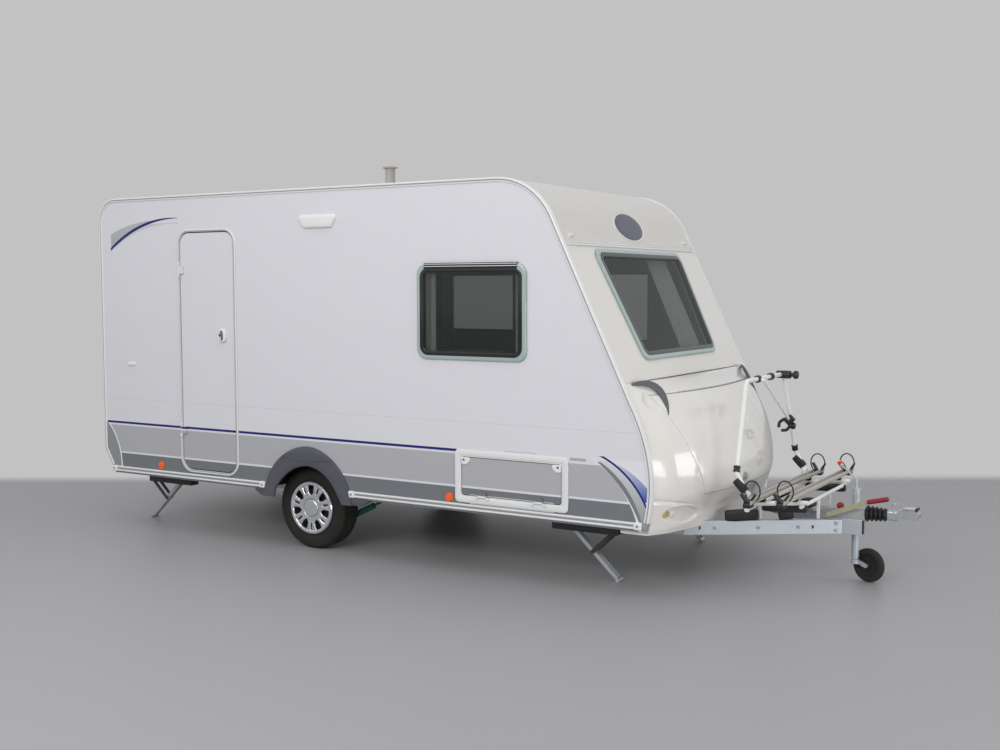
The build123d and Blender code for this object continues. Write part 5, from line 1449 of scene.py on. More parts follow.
@dataclass
class Doors(Assembly):
    """The entrance door and the service door with their beaded frames and locks."""

    door_x: Span = (-1.165, -0.635)
    door_z: Span = (0.507, 2.270)
    door_radius: float = 0.085
    door_frame: float = 0.028
    service_x: Span = (1.337, 2.076)
    service_z: Span = (0.522, 0.776)
    service_frame: float = 0.046
    flush: float = 0.002

    def surround(self, name: str, x: Span, z: Span, wide: float, radius: float, steps: list) -> Piece:
        """A hoop round a door's opening, as wide as the frame there."""
        corners = box_corners((x[0] - wide, x[1] + wide), (z[0] - wide, z[1] + wide))
        return hoop_plate(name, side_face(-1), corners, radius, steps)

    def frames(self) -> None:
        """The entrance door's two round beads with a grey groove, and the service door's flat frame."""
        wide, proud = self.door_frame, 0.0088
        half = wide / 2
        bead = [(0.0, 0.004), (0.0, 0.005), (0.0015, 0.0075), (0.004, proud), (half - 0.004, proud)]
        bead += [(half - 0.0025, 0.0062), (half + 0.0025, 0.0062), (half + 0.004, proud)]
        bead += [(wide - 0.010, proud), (wide - 0.0085, 0.0075), (wide - 0.008, 0.005), (wide - 0.008, 0.004)]
        groove = [
            (half - 0.0028, 0.005), (half - 0.0024, 0.0068), (half + 0.0024, 0.0068), (half + 0.0028, 0.005)
        ]
        for name, steps, finish in (
            ("door_frame_bead", bead, TRIM_WHITE), ("door_frame_groove", groove, TRIM_GREY)
        ):
            strip = self.surround(name, self.door_x, self.door_z, wide, self.door_radius + wide, steps)
            self.add(strip, finish, "frame_plastic")
        wide, inner = self.service_frame, self.service_frame - 0.008
        flat = [(0.0, 0.004), (0.0, 0.0065), (0.0015, 0.0088), (0.004, 0.0098), (inner - 0.003, 0.0098)]
        flat += [(inner - 0.001, 0.009), (inner, 0.007), (inner, 0.004)]
        frame = self.surround("service_frame_flat", self.service_x, self.service_z, wide, 0.030, flat)
        self.add(frame, TRIM_WHITE, "frame_plastic")

    def build(self) -> None:
        """Finishes both leaves, their frames, the handle, the locks and the inlet."""
        self.crisp("side_frames", TRIM_WHITE, "frame_plastic", 1.2)
        self.paint("entrance_door", SIDE_SHEET)
        self.paint("service_door", SIDE_SHEET)
        self.frames()
        self.handle()
        self.lugs()
        steps = [(0, 0), (0, 0.006), (0.003, 0.0095), (0.008, 0.011)]
        inlet = plate(
            "water_inlet", side_face(-1), box_corners((-1.757, -1.671), (1.263, 1.293)), 0.0149, steps
        )
        self.add(inlet, WHITE_PLASTIC, "frame_plastic")

    def lugs(self) -> None:
        """The service door's two corner lugs, each with a small lock."""
        steps = [(0.0, self.flush), (0.0, 0.007), (0.002, 0.0095), (0.006, 0.010)]
        shape = np.array([(0.004, 0.772), (0.004, 0.724), (0.040, 0.724), (0.066, 0.746), (0.066, 0.772)])
        ring = [(0.0075, 0.0), (0.0075, -0.002), (0.0065, -0.003), (0.004, -0.003), (0.0035, -0.001)]
        for label, x, way in (("rear", self.service_x[0], 1), ("front", self.service_x[1], -1)):
            corners = (shape * np.array((way, 1)) + np.array((x, 0)))[::way]
            lug = plate(f"service_lug_{label}", side_face(-1), corners, 0.007, steps)
            self.add(lug, WHITE_PLASTIC, "frame_plastic", "service_door")
            centre = (x + way * 0.024, -SIZE.half_width - 0.010, 0.756)
            lock = lathe(f"service_lock_{label}", ring, centre, "Y", 32)
            self.add(lock, HANDLE_GREY, "handle_plastic", "service_door")

    def handle(self) -> None:
        """A round-cornered escutcheon with a pull cup and a key barrel."""
        face = Face((0, -SIZE.half_width - self.flush - 0.011, 0), (1, 0, 0), (0, 0, 1), (0, -1, 0))
        corners = box_corners((-0.786, -0.706), (1.465, 1.565))
        steps = [(0.0, -0.010), (0.0, 0.002), (0.003, 0.0055), (0.010, 0.007), (0.017, 0.007), (0.020, 0.001)]
        cup = plate("door_handle_cup", face, corners, 0.036, [*steps, (0.030, 0.0005)])
        pull = [
            (-0.746, -1.0680, 1.553), (-0.744, -1.0695, 1.535), (-0.740, -1.0695, 1.500),
            (-0.744, -1.0680, 1.478)
        ]
        grip = tube("door_handle_pull", smooth_path(pull, 0.02), 0.0062)
        barrel = [(0.0095, 0.004), (0.0095, -0.006), (0.008, -0.0075), (0.004, -0.0075)]
        lock = lathe("door_key_barrel", barrel, (-0.762, -1.0645, 1.518), "Y", 32)
        self.add(cup, WHITE_PLASTIC, "frame_plastic", "entrance_door")
        self.add(grip, HANDLE_GREY, "handle_plastic", "entrance_door")
        self.add(lock, HANDLE_GREY, "handle_plastic", "entrance_door")


@dataclass
class Wheels(Assembly):
    """Road wheels: tyre with a blocked tread, steel wheel and a spoked silver cover."""

    radius: float = 0.295
    half_tread: float = 0.0925
    lip: float = 0.190
    spokes: int = 7

    def tyre(self) -> Piece:
        """A turned tyre; the tread sinks by 6 mm along four rings and between the blocks."""
        r, t = self.radius, self.half_tread
        wall = np.array(
            [
                (0.179, t - 0.013), (0.190, t - 0.012), (0.1955, t - 0.008), (0.200, t - 0.0035),
                (0.2015, t - 0.004)
            ]
            + [
                (0.203, t - 0.0035), (0.216, t - 0.0012), (0.230, t - 0.0004), (0.240, t - 0.0002),
                (0.2415, t - 0.0014)
            ]
            + [
                (0.243, t - 0.0002), (0.262, t - 0.0025), (0.2645, t - 0.0045), (0.267, t - 0.0035),
                (0.277, t - 0.007)
            ]
            + [(0.284, t - 0.011), (0.290, t - 0.0165)]
        )
        across = np.linspace(t - 0.020, -(t - 0.020), 57)
        crown = np.stack([r - 0.002 * (across / t) ** 2 * 2.2 - 0.0004, across], 1)
        profile = np.concatenate([wall, crown, wall[::-1] * np.array((1, -1))])
        blocks, lugs, turn = 60, 60, around(360)
        y, size = profile[:, 1:], profile[:, :1]
        ring = sum(np.exp(-(((np.abs(y) - mark) / 0.0030) ** 4)) for mark in (0.016, 0.047))
        slant = turn[None] + 0.9 * np.abs(y)
        block = (np.mod(slant * blocks / (2 * math.pi), 1.0) < 0.22) & (np.abs(y) > 0.020)
        sink = np.where(size > 0.283, np.maximum(ring, block * 1.0), 0.0) * 0.006
        lug = (np.mod(turn[None] * (lugs / 2) / math.pi, 1.0) < 0.25) & (size > 0.266) & (size < 0.283)
        size = size - np.clip(sink, 0, 0.006) - lug * 0.0015
        out = np.broadcast_to(y, size.shape) - SIZE.hub_out
        rings = np.stack([size * np.sin(turn), out, self.radius + size * np.cos(turn)], -1)
        rings = np.concatenate([rings, rings[:1]])
        return stack_rings("tyre_moulded_right", rings, caps=False, sharp=40)

    def cover(self) -> Piece:
        """A dished cover with paired spokes.

        The height over a polar grid is a domed rim, a dish and a raised hub; windows and slots
        between the spokes are left open, and their edges turn inwards.
        """
        radii = [np.linspace(0.004, 0.066, 14), np.linspace(0.068, 0.170, 62), np.linspace(0.1715, 0.191, 12)]
        r, a = np.meshgrid(np.concatenate(radii), around(7 * 54), indexing="ij")
        sector = 2 * math.pi / self.spokes
        off = np.mod(a + sector / 2, sector) - sector / 2
        room = 0.019 * ease(r, 0.086, 0.118) + 0.004 * ease(r, 0.118, 0.150)
        window = np.maximum(np.abs(off) * r - room, np.maximum(0.095 - r, r - 0.161))
        slot_off = (np.mod(a, sector) - sector / 2) * r
        slot = np.maximum(np.abs(slot_off) - 0.0032, np.maximum(0.112 - r, r - 0.158))
        opening = np.minimum(window, slot)
        high = 0.0955 + 0.0045 * ease(r, 0.158, 0.172) - 0.010 * ease(r, 0.183, 0.191)
        high = high + 0.0050 * (1 - ease(r, 0.058, 0.064)) - 0.009 * np.exp(-(((r - 0.0665) / 0.0026) ** 2))
        high = high - 0.0055 * (1 - ease(opening, -0.001, 0.006))
        high = high + 0.0025 * ease(opening, 0.004, 0.010) * ease(r, 0.09, 0.12) * (1 - ease(r, 0.15, 0.165))
        points = np.stack([r * np.sin(a), -SIZE.hub_out - high, self.radius + r * np.cos(a)], -1)
        rows, columns = r.shape
        faces = np.array(grid_faces(rows, columns, wrap=True)).reshape(rows - 1, columns, 4)
        keep = opening > -0.0008
        beside = np.roll(keep, -1, 1)
        chosen = faces[keep[:-1] & keep[1:] & beside[:-1] & beside[1:]].tolist() + [list(range(columns))]
        piece = make_object("cover_right", points.reshape(-1, 3), chosen, 45)
        face_out(piece, 1, -1)
        return piece

    def build(self) -> None:
        """Builds one wheel and mirrors it."""
        rim = np.array(
            [
                (0.017, 0.030), (0.017, 0.038), (0.060, 0.040), (0.085, 0.048), (0.120, 0.044),
                (0.150, 0.030), (0.158, 0.030)
            ]
            + [
                (0.165, 0.040), (0.166, 0.078), (0.178, 0.082), (0.186, 0.083), (0.190, 0.086),
                (0.190, 0.0878), (0.184, 0.087)
            ]
            + [
                (0.176, 0.080), (0.176, -0.080), (0.184, -0.087), (0.190, -0.0878), (0.190, -0.084),
                (0.166, -0.078)
            ]
            + [(0.165, 0.020), (0.113, 0.012), (0.113, -0.110), (0.017, -0.112), (0.017, 0.030)]
        ) * np.array((1, -1))
        hub = (0, -SIZE.hub_out, self.radius)
        wheel = lathe("road_wheel_right", rim, hub, "Y", 96, 40, caps=False)
        right = [self.tyre(), wheel, self.cover()]
        left = [mirrored(piece, piece.name.replace("right", "left")) for piece in right]
        for label, (tyre, wheel, cover) in (("right", right), ("left", left)):
            thicken(cover, "moulded_wall", 0.0025)
            self.add(tyre, TYRE_RUBBER, "tyre", f"wheel_{label}", (f"tyre_{label}",))
            # The wheel disc's dark finish is partly painted shade behind the cover's openings.
            self.add(wheel, DARK_STEEL_AND_SHADE, "rim_steel", f"wheel_{label}", (f"rim_{label}",))
            self.add(cover, SILVER_COVER, "cover_plastic", f"wheel_{label}", (f"wheel_cover_{label}",))


def beam_y(x: float) -> float:
    """How far from the middle line a drawbar member's outer face stands, x metres forward."""
    (tip_x, tip_y), (root_x, root_y) = (3.535, 0.060), (2.700, 0.606)
    return tip_y + (tip_x - x) * (root_y - tip_y) / (tip_x - root_x)


@dataclass
class Chassis(Assembly):
    """Galvanised beams, axle, dampers and corner steadies."""

    def bolt(self, place: tuple, size: float = 0.008) -> Piece:
        """A hexagon head on a washer, from two stacked turned rings; it points away from the middle."""
        head = [(size * 1.6, 0.0), (size * 1.6, 0.0015), (size, 0.0015), (size, 0.0065), (size * 0.8, 0.0075)]
        return lathe(
            "beam_bolt", np.array(head) * np.array((1, math.copysign(1, place[1]))), place, "Y", 12, 20
        )

    def build(self) -> None:
        """Finishes each node with broken edges and adds bolts, and dark discs that are painted shade where
        the beams have holes.
        """
        for node, finish, slot, edge in (
            ("chassis_beams", ZINC, "galvanised", 1.5),
            ("cross_members", ZINC, "galvanised", 1.0),
            ("axle_tube", AXLE_BLACK, "axle_paint", 2.0),
            ("trailing_arms", AXLE_BLACK, "axle_paint", 1.5),
            ("shock_absorbers", DAMPER_GREEN, "damper_paint", 1.0),
            ("shock_brackets", ZINC, "galvanised", 1.0),
            ("steady_brackets", AXLE_BLACK, "galvanised", 1.0),
        ):
            self.crisp(node, finish, slot, edge)
        for corner in ("front_right", "front_left", "rear_right", "rear_left"):
            self.crisp(f"steady_brace_{corner}", AXLE_BLACK, "galvanised", 0.8)
            self.crisp(f"steady_leg_{corner}", ZINC, "galvanised", 0.8)
        spots = ((2.86, 0.368), (3.09, 0.368), (3.30, 0.368), (3.50, 0.345), (3.50, 0.392))
        places = [(x, beam_y(x) + 0.0005, z) for x, z in spots]
        places += [(x, 0.6065, 0.360) for x in (0.09, 0.23, 1.46)]
        bolts = [self.bolt((x, side * y, z)) for side in (-1, 1) for x, y, z in places]
        # Dark discs on both beams: painted shade in their holes.
        hole_shades = []
        for side in (-1, 1):
            ring = np.array(
                [(0.011, 0.0), (0.011, 0.0012), (0.009, 0.0012), (0.0085, 0.0004)]
            ) * np.array((1, side))
            for x in (3.375, 2.78):
                hole_shades.append(lathe("beam_hole", ring, (x, side * (beam_y(x) + 0.0008), 0.368), "Y", 24))
        self.add(join("beam_bolts", bolts), BRIGHT_ZINC, "galvanised")
        self.add(join("beam_holes", hole_shades), DARK_STEEL_AND_SHADE, "galvanised")


@dataclass
class Hitch(Assembly):
    """Overrun housing, bellows, coupling head, brake lever and jockey wheel."""

    shaft_z: float = 0.457
    bellows_x: Span = (3.665, 3.795)
    ribs: int = 5
    jockey: Span = (3.585, 0.070)
    swivel: float = math.radians(-19.4)
    trail: float = 0.065
    wheel: float = 0.107

    def bellows(self) -> None:
        """A turned boot: its radius falls along X and swells at each of the ribs."""
        x = np.linspace(*self.bellows_x, 121)
        share = (x - x[0]) / (x[-1] - x[0])
        swell = (0.5 - 0.5 * np.cos(2 * math.pi * self.ribs * share)) ** 0.75
        size = 0.038 - 0.009 * share + (0.0135 - 0.002 * share) * swell
        profile = np.concatenate([[(0.0235, x[0])], np.stack([size, x], 1), [(0.0235, x[-1])]])
        boot = lathe("bellows_boot", profile, (0, 0, self.shaft_z), "X", 72, 50)
        self.add(boot, BELLOWS_RUBBER, "bellows_rubber", stands_for=("overrun_bellows",))

    def coupling(self) -> None:
        """The head with its sleeve, release handle and lock plate."""
        self.crisp("coupling_head", BRIGHT_ZINC, "coupling_steel", 5.0)
        mouth = Face((0, 0, 0), (0, 1, 0), (0, 0, 1), (1, 0, 0))
        steps = [(0.004, 3.797), (0.0, 3.800), (0.0, 3.858), (0.004, 3.8615)]
        sleeve = plate("draw_sleeve", mouth, box_corners((-0.029, 0.029), (0.429, 0.485)), 0.007, steps, 35.0)
        self.add(sleeve, BRIGHT_ZINC, "coupling_steel")
        grip = smooth_path([(3.884, 0, 0.503), (3.915, 0, 0.512), (3.950, 0, 0.515), (3.978, 0, 0.509)], 0.02)
        section = soft_outline(box_corners((-0.021, 0.021), (-0.004, 0.004)), 0.0035)
        self.add(carry("release_handle", grip, section, up=(0, 0, 1)), BRIGHT_ZINC, "coupling_steel")
        profile = [(0.006, -0.030), (0.009, -0.027), (0.0095, 0.0), (0.009, 0.027), (0.006, 0.030)]
        self.add(lathe("release_bar", profile, (3.974, 0, 0.509), "Y", 24), BLACK_PLASTIC, "coupling_steel")
        clip = [
            (3.838, -0.034, 0.478), (3.830, -0.040, 0.540), (3.870, -0.036, 0.536), (3.905, -0.030, 0.500)
        ]
        self.add(tube("safety_clip", smooth_path(clip, 0.02), 0.0028, 10), BRIGHT_ZINC, "coupling_steel")

    def lever(self) -> None:
        """A two-plate lever with a spacer between, and a ribbed red grip."""
        self.crisp("handbrake_lever", OLIVE_STEEL, "lever_steel", 1.0)
        start, end = np.array((3.690, -0.075, 0.5388)), np.array((3.8170, -0.075, 0.5694))
        share = np.linspace(0, 1, 60)[:, None]
        size = 0.0152 + 0.0007 * np.cos(2 * math.pi * 11 * share[:, 0])
        size[-2:] *= (0.96, 0.80)
        grip = tube("lever_grip", start + (end - start) * share, size, 24)
        self.add(grip, RED_GRIP, "lever_steel", "handbrake_lever")
        profile = [(0.010, 0), (0.021, -0.002), (0.0225, -0.012), (0.020, -0.020), (0.010, -0.023)]
        self.add(lathe("clamp_knob", profile, (3.520, -0.048, 0.500), "Y", 20, 25), RED_GRIP, "cast_housing")

    def jockey_wheel(self) -> None:
        """Tubes, crank with a red knob, fork and a rubber-tyred wheel with a pressed centre."""
        self.crisp("jockey_clamp", BRIGHT_ZINC, "jockey_tube", 1.5)
        for node, edge in (("jockey_outer_tube", 1.0), ("jockey_inner_tube", 1.0), ("jockey_fork", 1.5)):
            self.crisp(node, ZINC, "jockey_tube", edge)
        x, y = self.jockey
        profile = [
            (0.008, 0.0), (0.0135, 0.003), (0.0140, 0.012), (0.0165, 0.020), (0.0165, 0.032), (0.012, 0.037)
        ]
        foot = np.array((x - 0.095, y, 0.730))
        rings = turned(profile, foot, (-0.47, 0, 0.88), (0.88, 0, 0.47), (0, 1.0, 0), 20)
        self.add(stack_rings("crank_knob", rings), RED_KNOB, "jockey_tube", "jockey_tube")
        half, r = 0.025, self.wheel
        profile = [
            (0.0085, -half), (0.024, -half), (0.026, -0.010), (0.050, -0.007), (0.066, -0.009),
            (0.070, -0.020)
        ]
        profile += [
            (0.078, -half), (0.092, -half + 0.001), (0.100, -half + 0.005), (0.105, -half + 0.011),
            (r, -0.006)
        ]
        profile += [(r, 0.0)] + [(size, -along) for size, along in profile[::-1]] + profile[:1]
        ahead = np.array((math.cos(self.swivel), math.sin(self.swivel), 0))
        beside = np.array((-math.sin(self.swivel), math.cos(self.swivel), 0))
        hub = np.array((x, y, r)) + ahead * self.trail + beside * 0.054
        wheel = stack_rings(
            "jockey_road_wheel", turned(profile, hub, beside, ahead, (0, 0, 1.0), 96), caps=False
        )
        self.add(wheel, TYRE_RUBBER, "jockey_tread", "jockey_wheel", ("jockey_wheel",))

    def build(self) -> None:
        """Builds the hitch from the housing forward."""
        self.crisp("overrun_housing", CAST_GREY, "cast_housing", 3.0)
        cheek = Face((0, -0.0602, 0), (1, 0, 0), (0, 0, 1), (0, -1, 0))
        skin = [(0.0, -0.0050), (0.0, 0.0004), (0.001, 0.0010), (0.004, 0.0010)]
        span = box_corners((3.5345, 3.6555), (0.3238, 0.4202))
        self.add(plate("housing_cheek_skin", cheek, span, 0.003, skin), ZINC, "galvanised")
        front = Face((3.6552, 0, 0), (0, 1, 0), (0, 0, 1), (1, 0, 0))
        stop = [(0.0, 0.0), (0.0, 0.0070), (0.0015, 0.0085), (0.004, 0.0085)]
        span = box_corners((-0.0600, -0.0300), (0.3300, 0.4150))
        self.add(plate("housing_end_plate", front, span, 0.005, stop), BLACK_PLASTIC, "cast_housing")
        self.bellows()
        self.coupling()
        self.lever()
        self.jockey_wheel()


@dataclass
class Carrier(Assembly):
    """The cycle carrier: base, two rails, a hoop and its clamp arms."""

    base_y: float = 0.472
    trays: tuple = ((3.155, 0.576), (3.356, 0.592))
    tray_half: float = 0.755
    wide: float = 0.060
    deep: float = 0.028
    pivot: Span = (3.098, 0.612)
    foot_y: float = 0.583
    collar: Spot = (3.028, 0.582, 0.740)
    top: Spot = (3.006, 0.368, 1.281)
    jaw: Spot = (3.042, 0.400, 0.966)

    def block(self, name: str, start: tuple, end: tuple, wide: float, thick: float) -> Piece:
        """A rounded bar between two points, a little slimmer at its ends."""
        start, run = np.array(start), np.array(end) - np.array(start)
        across = np.cross(run, (0, 1.0, 0.1))
        across /= np.linalg.norm(across)
        third = np.cross(across, run / np.linalg.norm(run))
        flat = soft_outline(
            box_corners((-wide / 2, wide / 2), (-thick / 2, thick / 2)), min(wide, thick) * 0.3
        )
        section = flat[:, :1] * across + flat[:, 1:] * third
        steps = ((0.0, 0.7), (0.03, 0.95), (0.3, 1.0), (0.7, 1.0), (0.97, 0.95), (1.0, 0.7))
        return stack_rings(name, np.array([start + run * share + section * grow for share, grow in steps]))

    def rails(self) -> None:
        """Each rail is a trough with rolled lips, and closed round ends."""
        w, d = self.wide / 2, self.deep
        section = np.array(
            [
                (-w, 0.010), (-w + 0.004, 0.003), (-w + 0.012, 0.0), (w - 0.012, 0.0), (w - 0.004, 0.003),
                (w, 0.010)
            ]
            + [(w, d - 0.003), (w - 0.002, d), (w - 0.007, d), (w - 0.009, d - 0.003), (w - 0.008, 0.012)]
            + [(w - 0.016, 0.004), (0.004, 0.0075), (-0.004, 0.0075), (-w + 0.016, 0.004)]
            + [
                (-w + 0.008, 0.012), (-w + 0.009, d - 0.003), (-w + 0.007, d), (-w + 0.002, d),
                (-w, d - 0.003)
            ]
        )
        for number, (x, z) in enumerate(self.trays):
            ring = np.stack([x + section[:, 0], np.zeros(len(section)), z + section[:, 1]], 1)
            rings = ring + np.linspace(
                -self.tray_half, self.tray_half, 40
            )[:, None, None] * np.array((0, 1, 0))
            stands = ("carrier_base",) if number == 0 else ()
            rail = stack_rings(f"cycle_rail_{number}", rings, sharp=50)
            self.add(rail, BRUSHED, "carrier_metal", stands_for=stands)
            for side, name in ((-1, "right"), (1, "left")):
                inner = []
                for lean in (-1, 1):
                    foot, tip = (
                        x + lean * 0.004, side * 0.718, z + 0.004
                    ), (x + lean * 0.044, side * 0.728, z + 0.064)
                    inner.append(self.block("arm", foot, tip, 0.011, 0.038))
                inner.append(
                    self.block(
                        "arm", (x, side * 0.690, z - 0.004), (x, side * 0.757, z - 0.004), 0.050, 0.030
                    )
                )
                self.add(join(f"wheel_cradle_{number}_{name}", inner), BLACK_PLASTIC, "carrier_plastic")
                turn = np.linspace(0, 2 * math.pi, 49)
                loop = np.stack(
                    [0.006 + 0.048 * np.sin(turn), 0.004 * np.cos(turn), 0.074 - 0.062 * np.cos(turn)], 1
                )
                strap = tube(
                    f"wheel_strap_{number}_{name}", loop + np.array((x, side * 0.672, z)), 0.0042, 10
                )
                self.add(strap, BELLOWS_RUBBER, "carrier_plastic")

    def base(self) -> None:
        """White side tubes with end plugs, cross tubes, posts and plates."""
        metal = []
        for side in (-1, 1):
            share = np.linspace(0, 1, 12)[:, None]
            line = np.array((3.077, side * self.base_y, 0.536)) + np.array((0.360, 0, 0.037)) * share
            size = np.full(12, 0.015)
            size[[0, -1]] = 0.0125
            metal.append(tube("base_tube", line, size, 24))
            face = Face((0, side * 0.559, 0), (1, 0, 0), (0, 0, 1), (0, 1, 0))
            corners = [(3.073, 0.499), (3.106, 0.499), (3.116, 0.628), (3.080, 0.628)]
            steps = [(0.0, side * 0.004), (0.0, 0.0), (0.001, side * -0.001)]
            metal.append(plate("base_plate", face, np.array(corners), 0.012, steps))
            for x, rise, reach in ((3.090, 0.0015, 0.568), (3.400, 0.0331, 0.487)):
                y, top = side * (beam_y(x) - 0.026), 0.536 + rise - 0.023
                metal.append(self.block("post", (x, y, 0.413), (x, y, top), 0.020, 0.016))
                if side < 0:
                    line = np.array([(x, -reach + 0.002, top), (x, reach - 0.002, top)])
                    metal.append(tube("cross_tube", line, 0.012, 20))
        self.add(join("carrier_frame", metal), WHITE_TUBE, "carrier_metal")

    def clamps(self) -> None:
        """Black clamps on the drawbar members, hinge blocks and collars round the hoop."""
        collar, top = np.array(self.collar), np.array(self.top)
        for side, label in ((-1, "right"), (1, "left")):
            beam = beam_y(3.000)
            pads = [
                ((2.905, beam + 0.030, 0.436), (3.090, beam - 0.060, 0.452), 0.070, 0.066),
                ((3.190, beam - 0.150, 0.440), (3.270, beam - 0.190, 0.452), 0.060, 0.060),
                ((3.150, 0.440, 0.518), (3.420, 0.430, 0.530), 0.050, 0.040),
            ]
            pads += [
                ((x - 0.022, 0.472, z - 0.012), (x + 0.022, 0.472, z - 0.012), 0.040, 0.026) for x,
                z in self.trays
            ]
            flip = np.array((1, side, 1))
            pieces = [
                self.block("pad", start * flip, end * flip, wide, thick) for start, end, wide, thick in pads
            ]
            self.add(join(f"beam_clamp_{label}", pieces), BLACK_PLASTIC, "carrier_plastic")
            foot, high = (3.090, side * 0.585, 0.629), (3.026, side * 0.583, 0.696)
            knee = self.block(f"hinge_block_{label}", foot, high, 0.050, 0.048)
            self.add(knee, BLACK_PLASTIC, "carrier_plastic", "carrier_hoop")
            heart = collar * flip + np.array((-0.0006, -side * 0.008, 0.020))
            way = (top - collar) * flip
            way /= np.linalg.norm(way)
            sizes = np.array([0.0175, 0.0215, 0.0215, 0.0175, 0.0175, 0.0215, 0.0215, 0.0175])
            along = np.array([-0.020, -0.018, -0.005, -0.003, 0.003, 0.005, 0.018, 0.020])
            ring = tube(f"hoop_collar_{label}", heart + way * along[:, None], sizes, 24)
            self.add(ring, BLACK_PLASTIC, "carrier_plastic", "carrier_hoop")

    def hoop(self) -> None:
        """One bent tube with hinge eyes at its feet."""
        (x, z), y = self.pivot, self.foot_y
        half = [(x, y, z), self.collar, self.top]
        points = [(ahead, -across, up) for ahead, across, up in half] + half[::-1]
        frame = tube("hoop_tube", smooth_path(points, 0.050, 12), 0.015, 24)
        profile = [
            (0.0075, -0.016), (0.017, -0.016), (0.019, -0.013), (0.019, 0.013), (0.017, 0.016),
            (0.0075, 0.016)
        ]
        profile += profile[:1]
        eyes = [lathe("hoop_eye", profile, (x, side * y, z), "Y", 32, caps=False) for side in (-1, 1)]
        tubes = join("carrier_hoop_tube", [frame, *eyes])
        self.add(tubes, WHITE_TUBE, "carrier_metal", "carrier_hoop", ("carrier_hoop",))

    def arms(self) -> None:
        """Clamp arms: a diagonal rod with a jaw, a short arm, and their split collars."""
        x, z = self.top[0], self.top[2]
        heart, fist, ahead = np.array(self.jaw), np.array((x, 0.312, z)), np.array((1.0, 0, 0))
        rod = smooth_path([(x + 0.006, -0.154, z), (x + 0.034, -0.140, z - 0.006), self.jaw], 0.02)
        rods = [tube("arm_rod", rod, 0.010, 20)]
        rods.append(tube("arm_short", np.array([fist + ahead * 0.010, fist + ahead * 0.080]), 0.013, 20))
        self.add(join("clamp_rods", rods), WHITE_TUBE, "carrier_metal", "carrier_hoop", ("carrier_arms",))
        blacks = []
        for y, wide in ((-0.154, 0.020), (0.095, 0.024)):
            along = wide * np.array([-1.0, -0.85, -0.2, 0.0, 0.2, 0.85, 1.0])
            sizes = np.array([0.018, 0.0235, 0.0235, 0.021, 0.0235, 0.0235, 0.018])
            blacks.append(
                tube("split_collar", np.array((x, y, z)) + along[:, None] * np.array((0, 1, 0)), sizes, 24)
            )
        for name, along, sizes in (
            (
                "clamp_body", (-0.030, -0.026, 0.030, 0.066, 0.070, 0.088),
                (0.020, 0.025, 0.027, 0.026, 0.014, 0.014)
            ),
            ("clamp_body_knob", (0.086, 0.090, 0.104, 0.114, 0.118), (0.016, 0.026, 0.028, 0.026, 0.018)),
        ):
            blacks.append(tube(name, fist + np.array(along)[:, None] * ahead, np.array(sizes), 20))
        blacks.append(
            self.block("jaw_block", heart + (0.022, 0, 0.022), heart - (0.020, 0, 0.020), 0.052, 0.046)
        )
        side, out = np.array((-0.707, 0.0, 0.707)), np.array((-0.707, -0.10, -0.707))
        for lean in (-1, 1):
            steps = ((0, 0), (0.018, 0.030), (0.060, 0.036), (0.088, 0.014))
            points = [heart + out * reach + side * lean * spread for reach, spread in steps]
            blacks.append(tube("jaw", smooth_path(points, 0.02), 0.0105, 14))
        profile = [(0.014, 0.0), (0.0225, 0.003), (0.024, 0.012), (0.0225, 0.024), (0.012, 0.030)]
        blacks.append(lathe("jaw_knob", profile, (3.046, 0.424, 0.926), "X", 16, 25))
        self.add(join("clamp_jaws", blacks), BLACK_PLASTIC, "carrier_plastic", "carrier_hoop")

    def build(self) -> None:
        """Builds the carrier."""
        self.rails()
        self.base()
        self.clamps()
        self.hoop()
        self.arms()


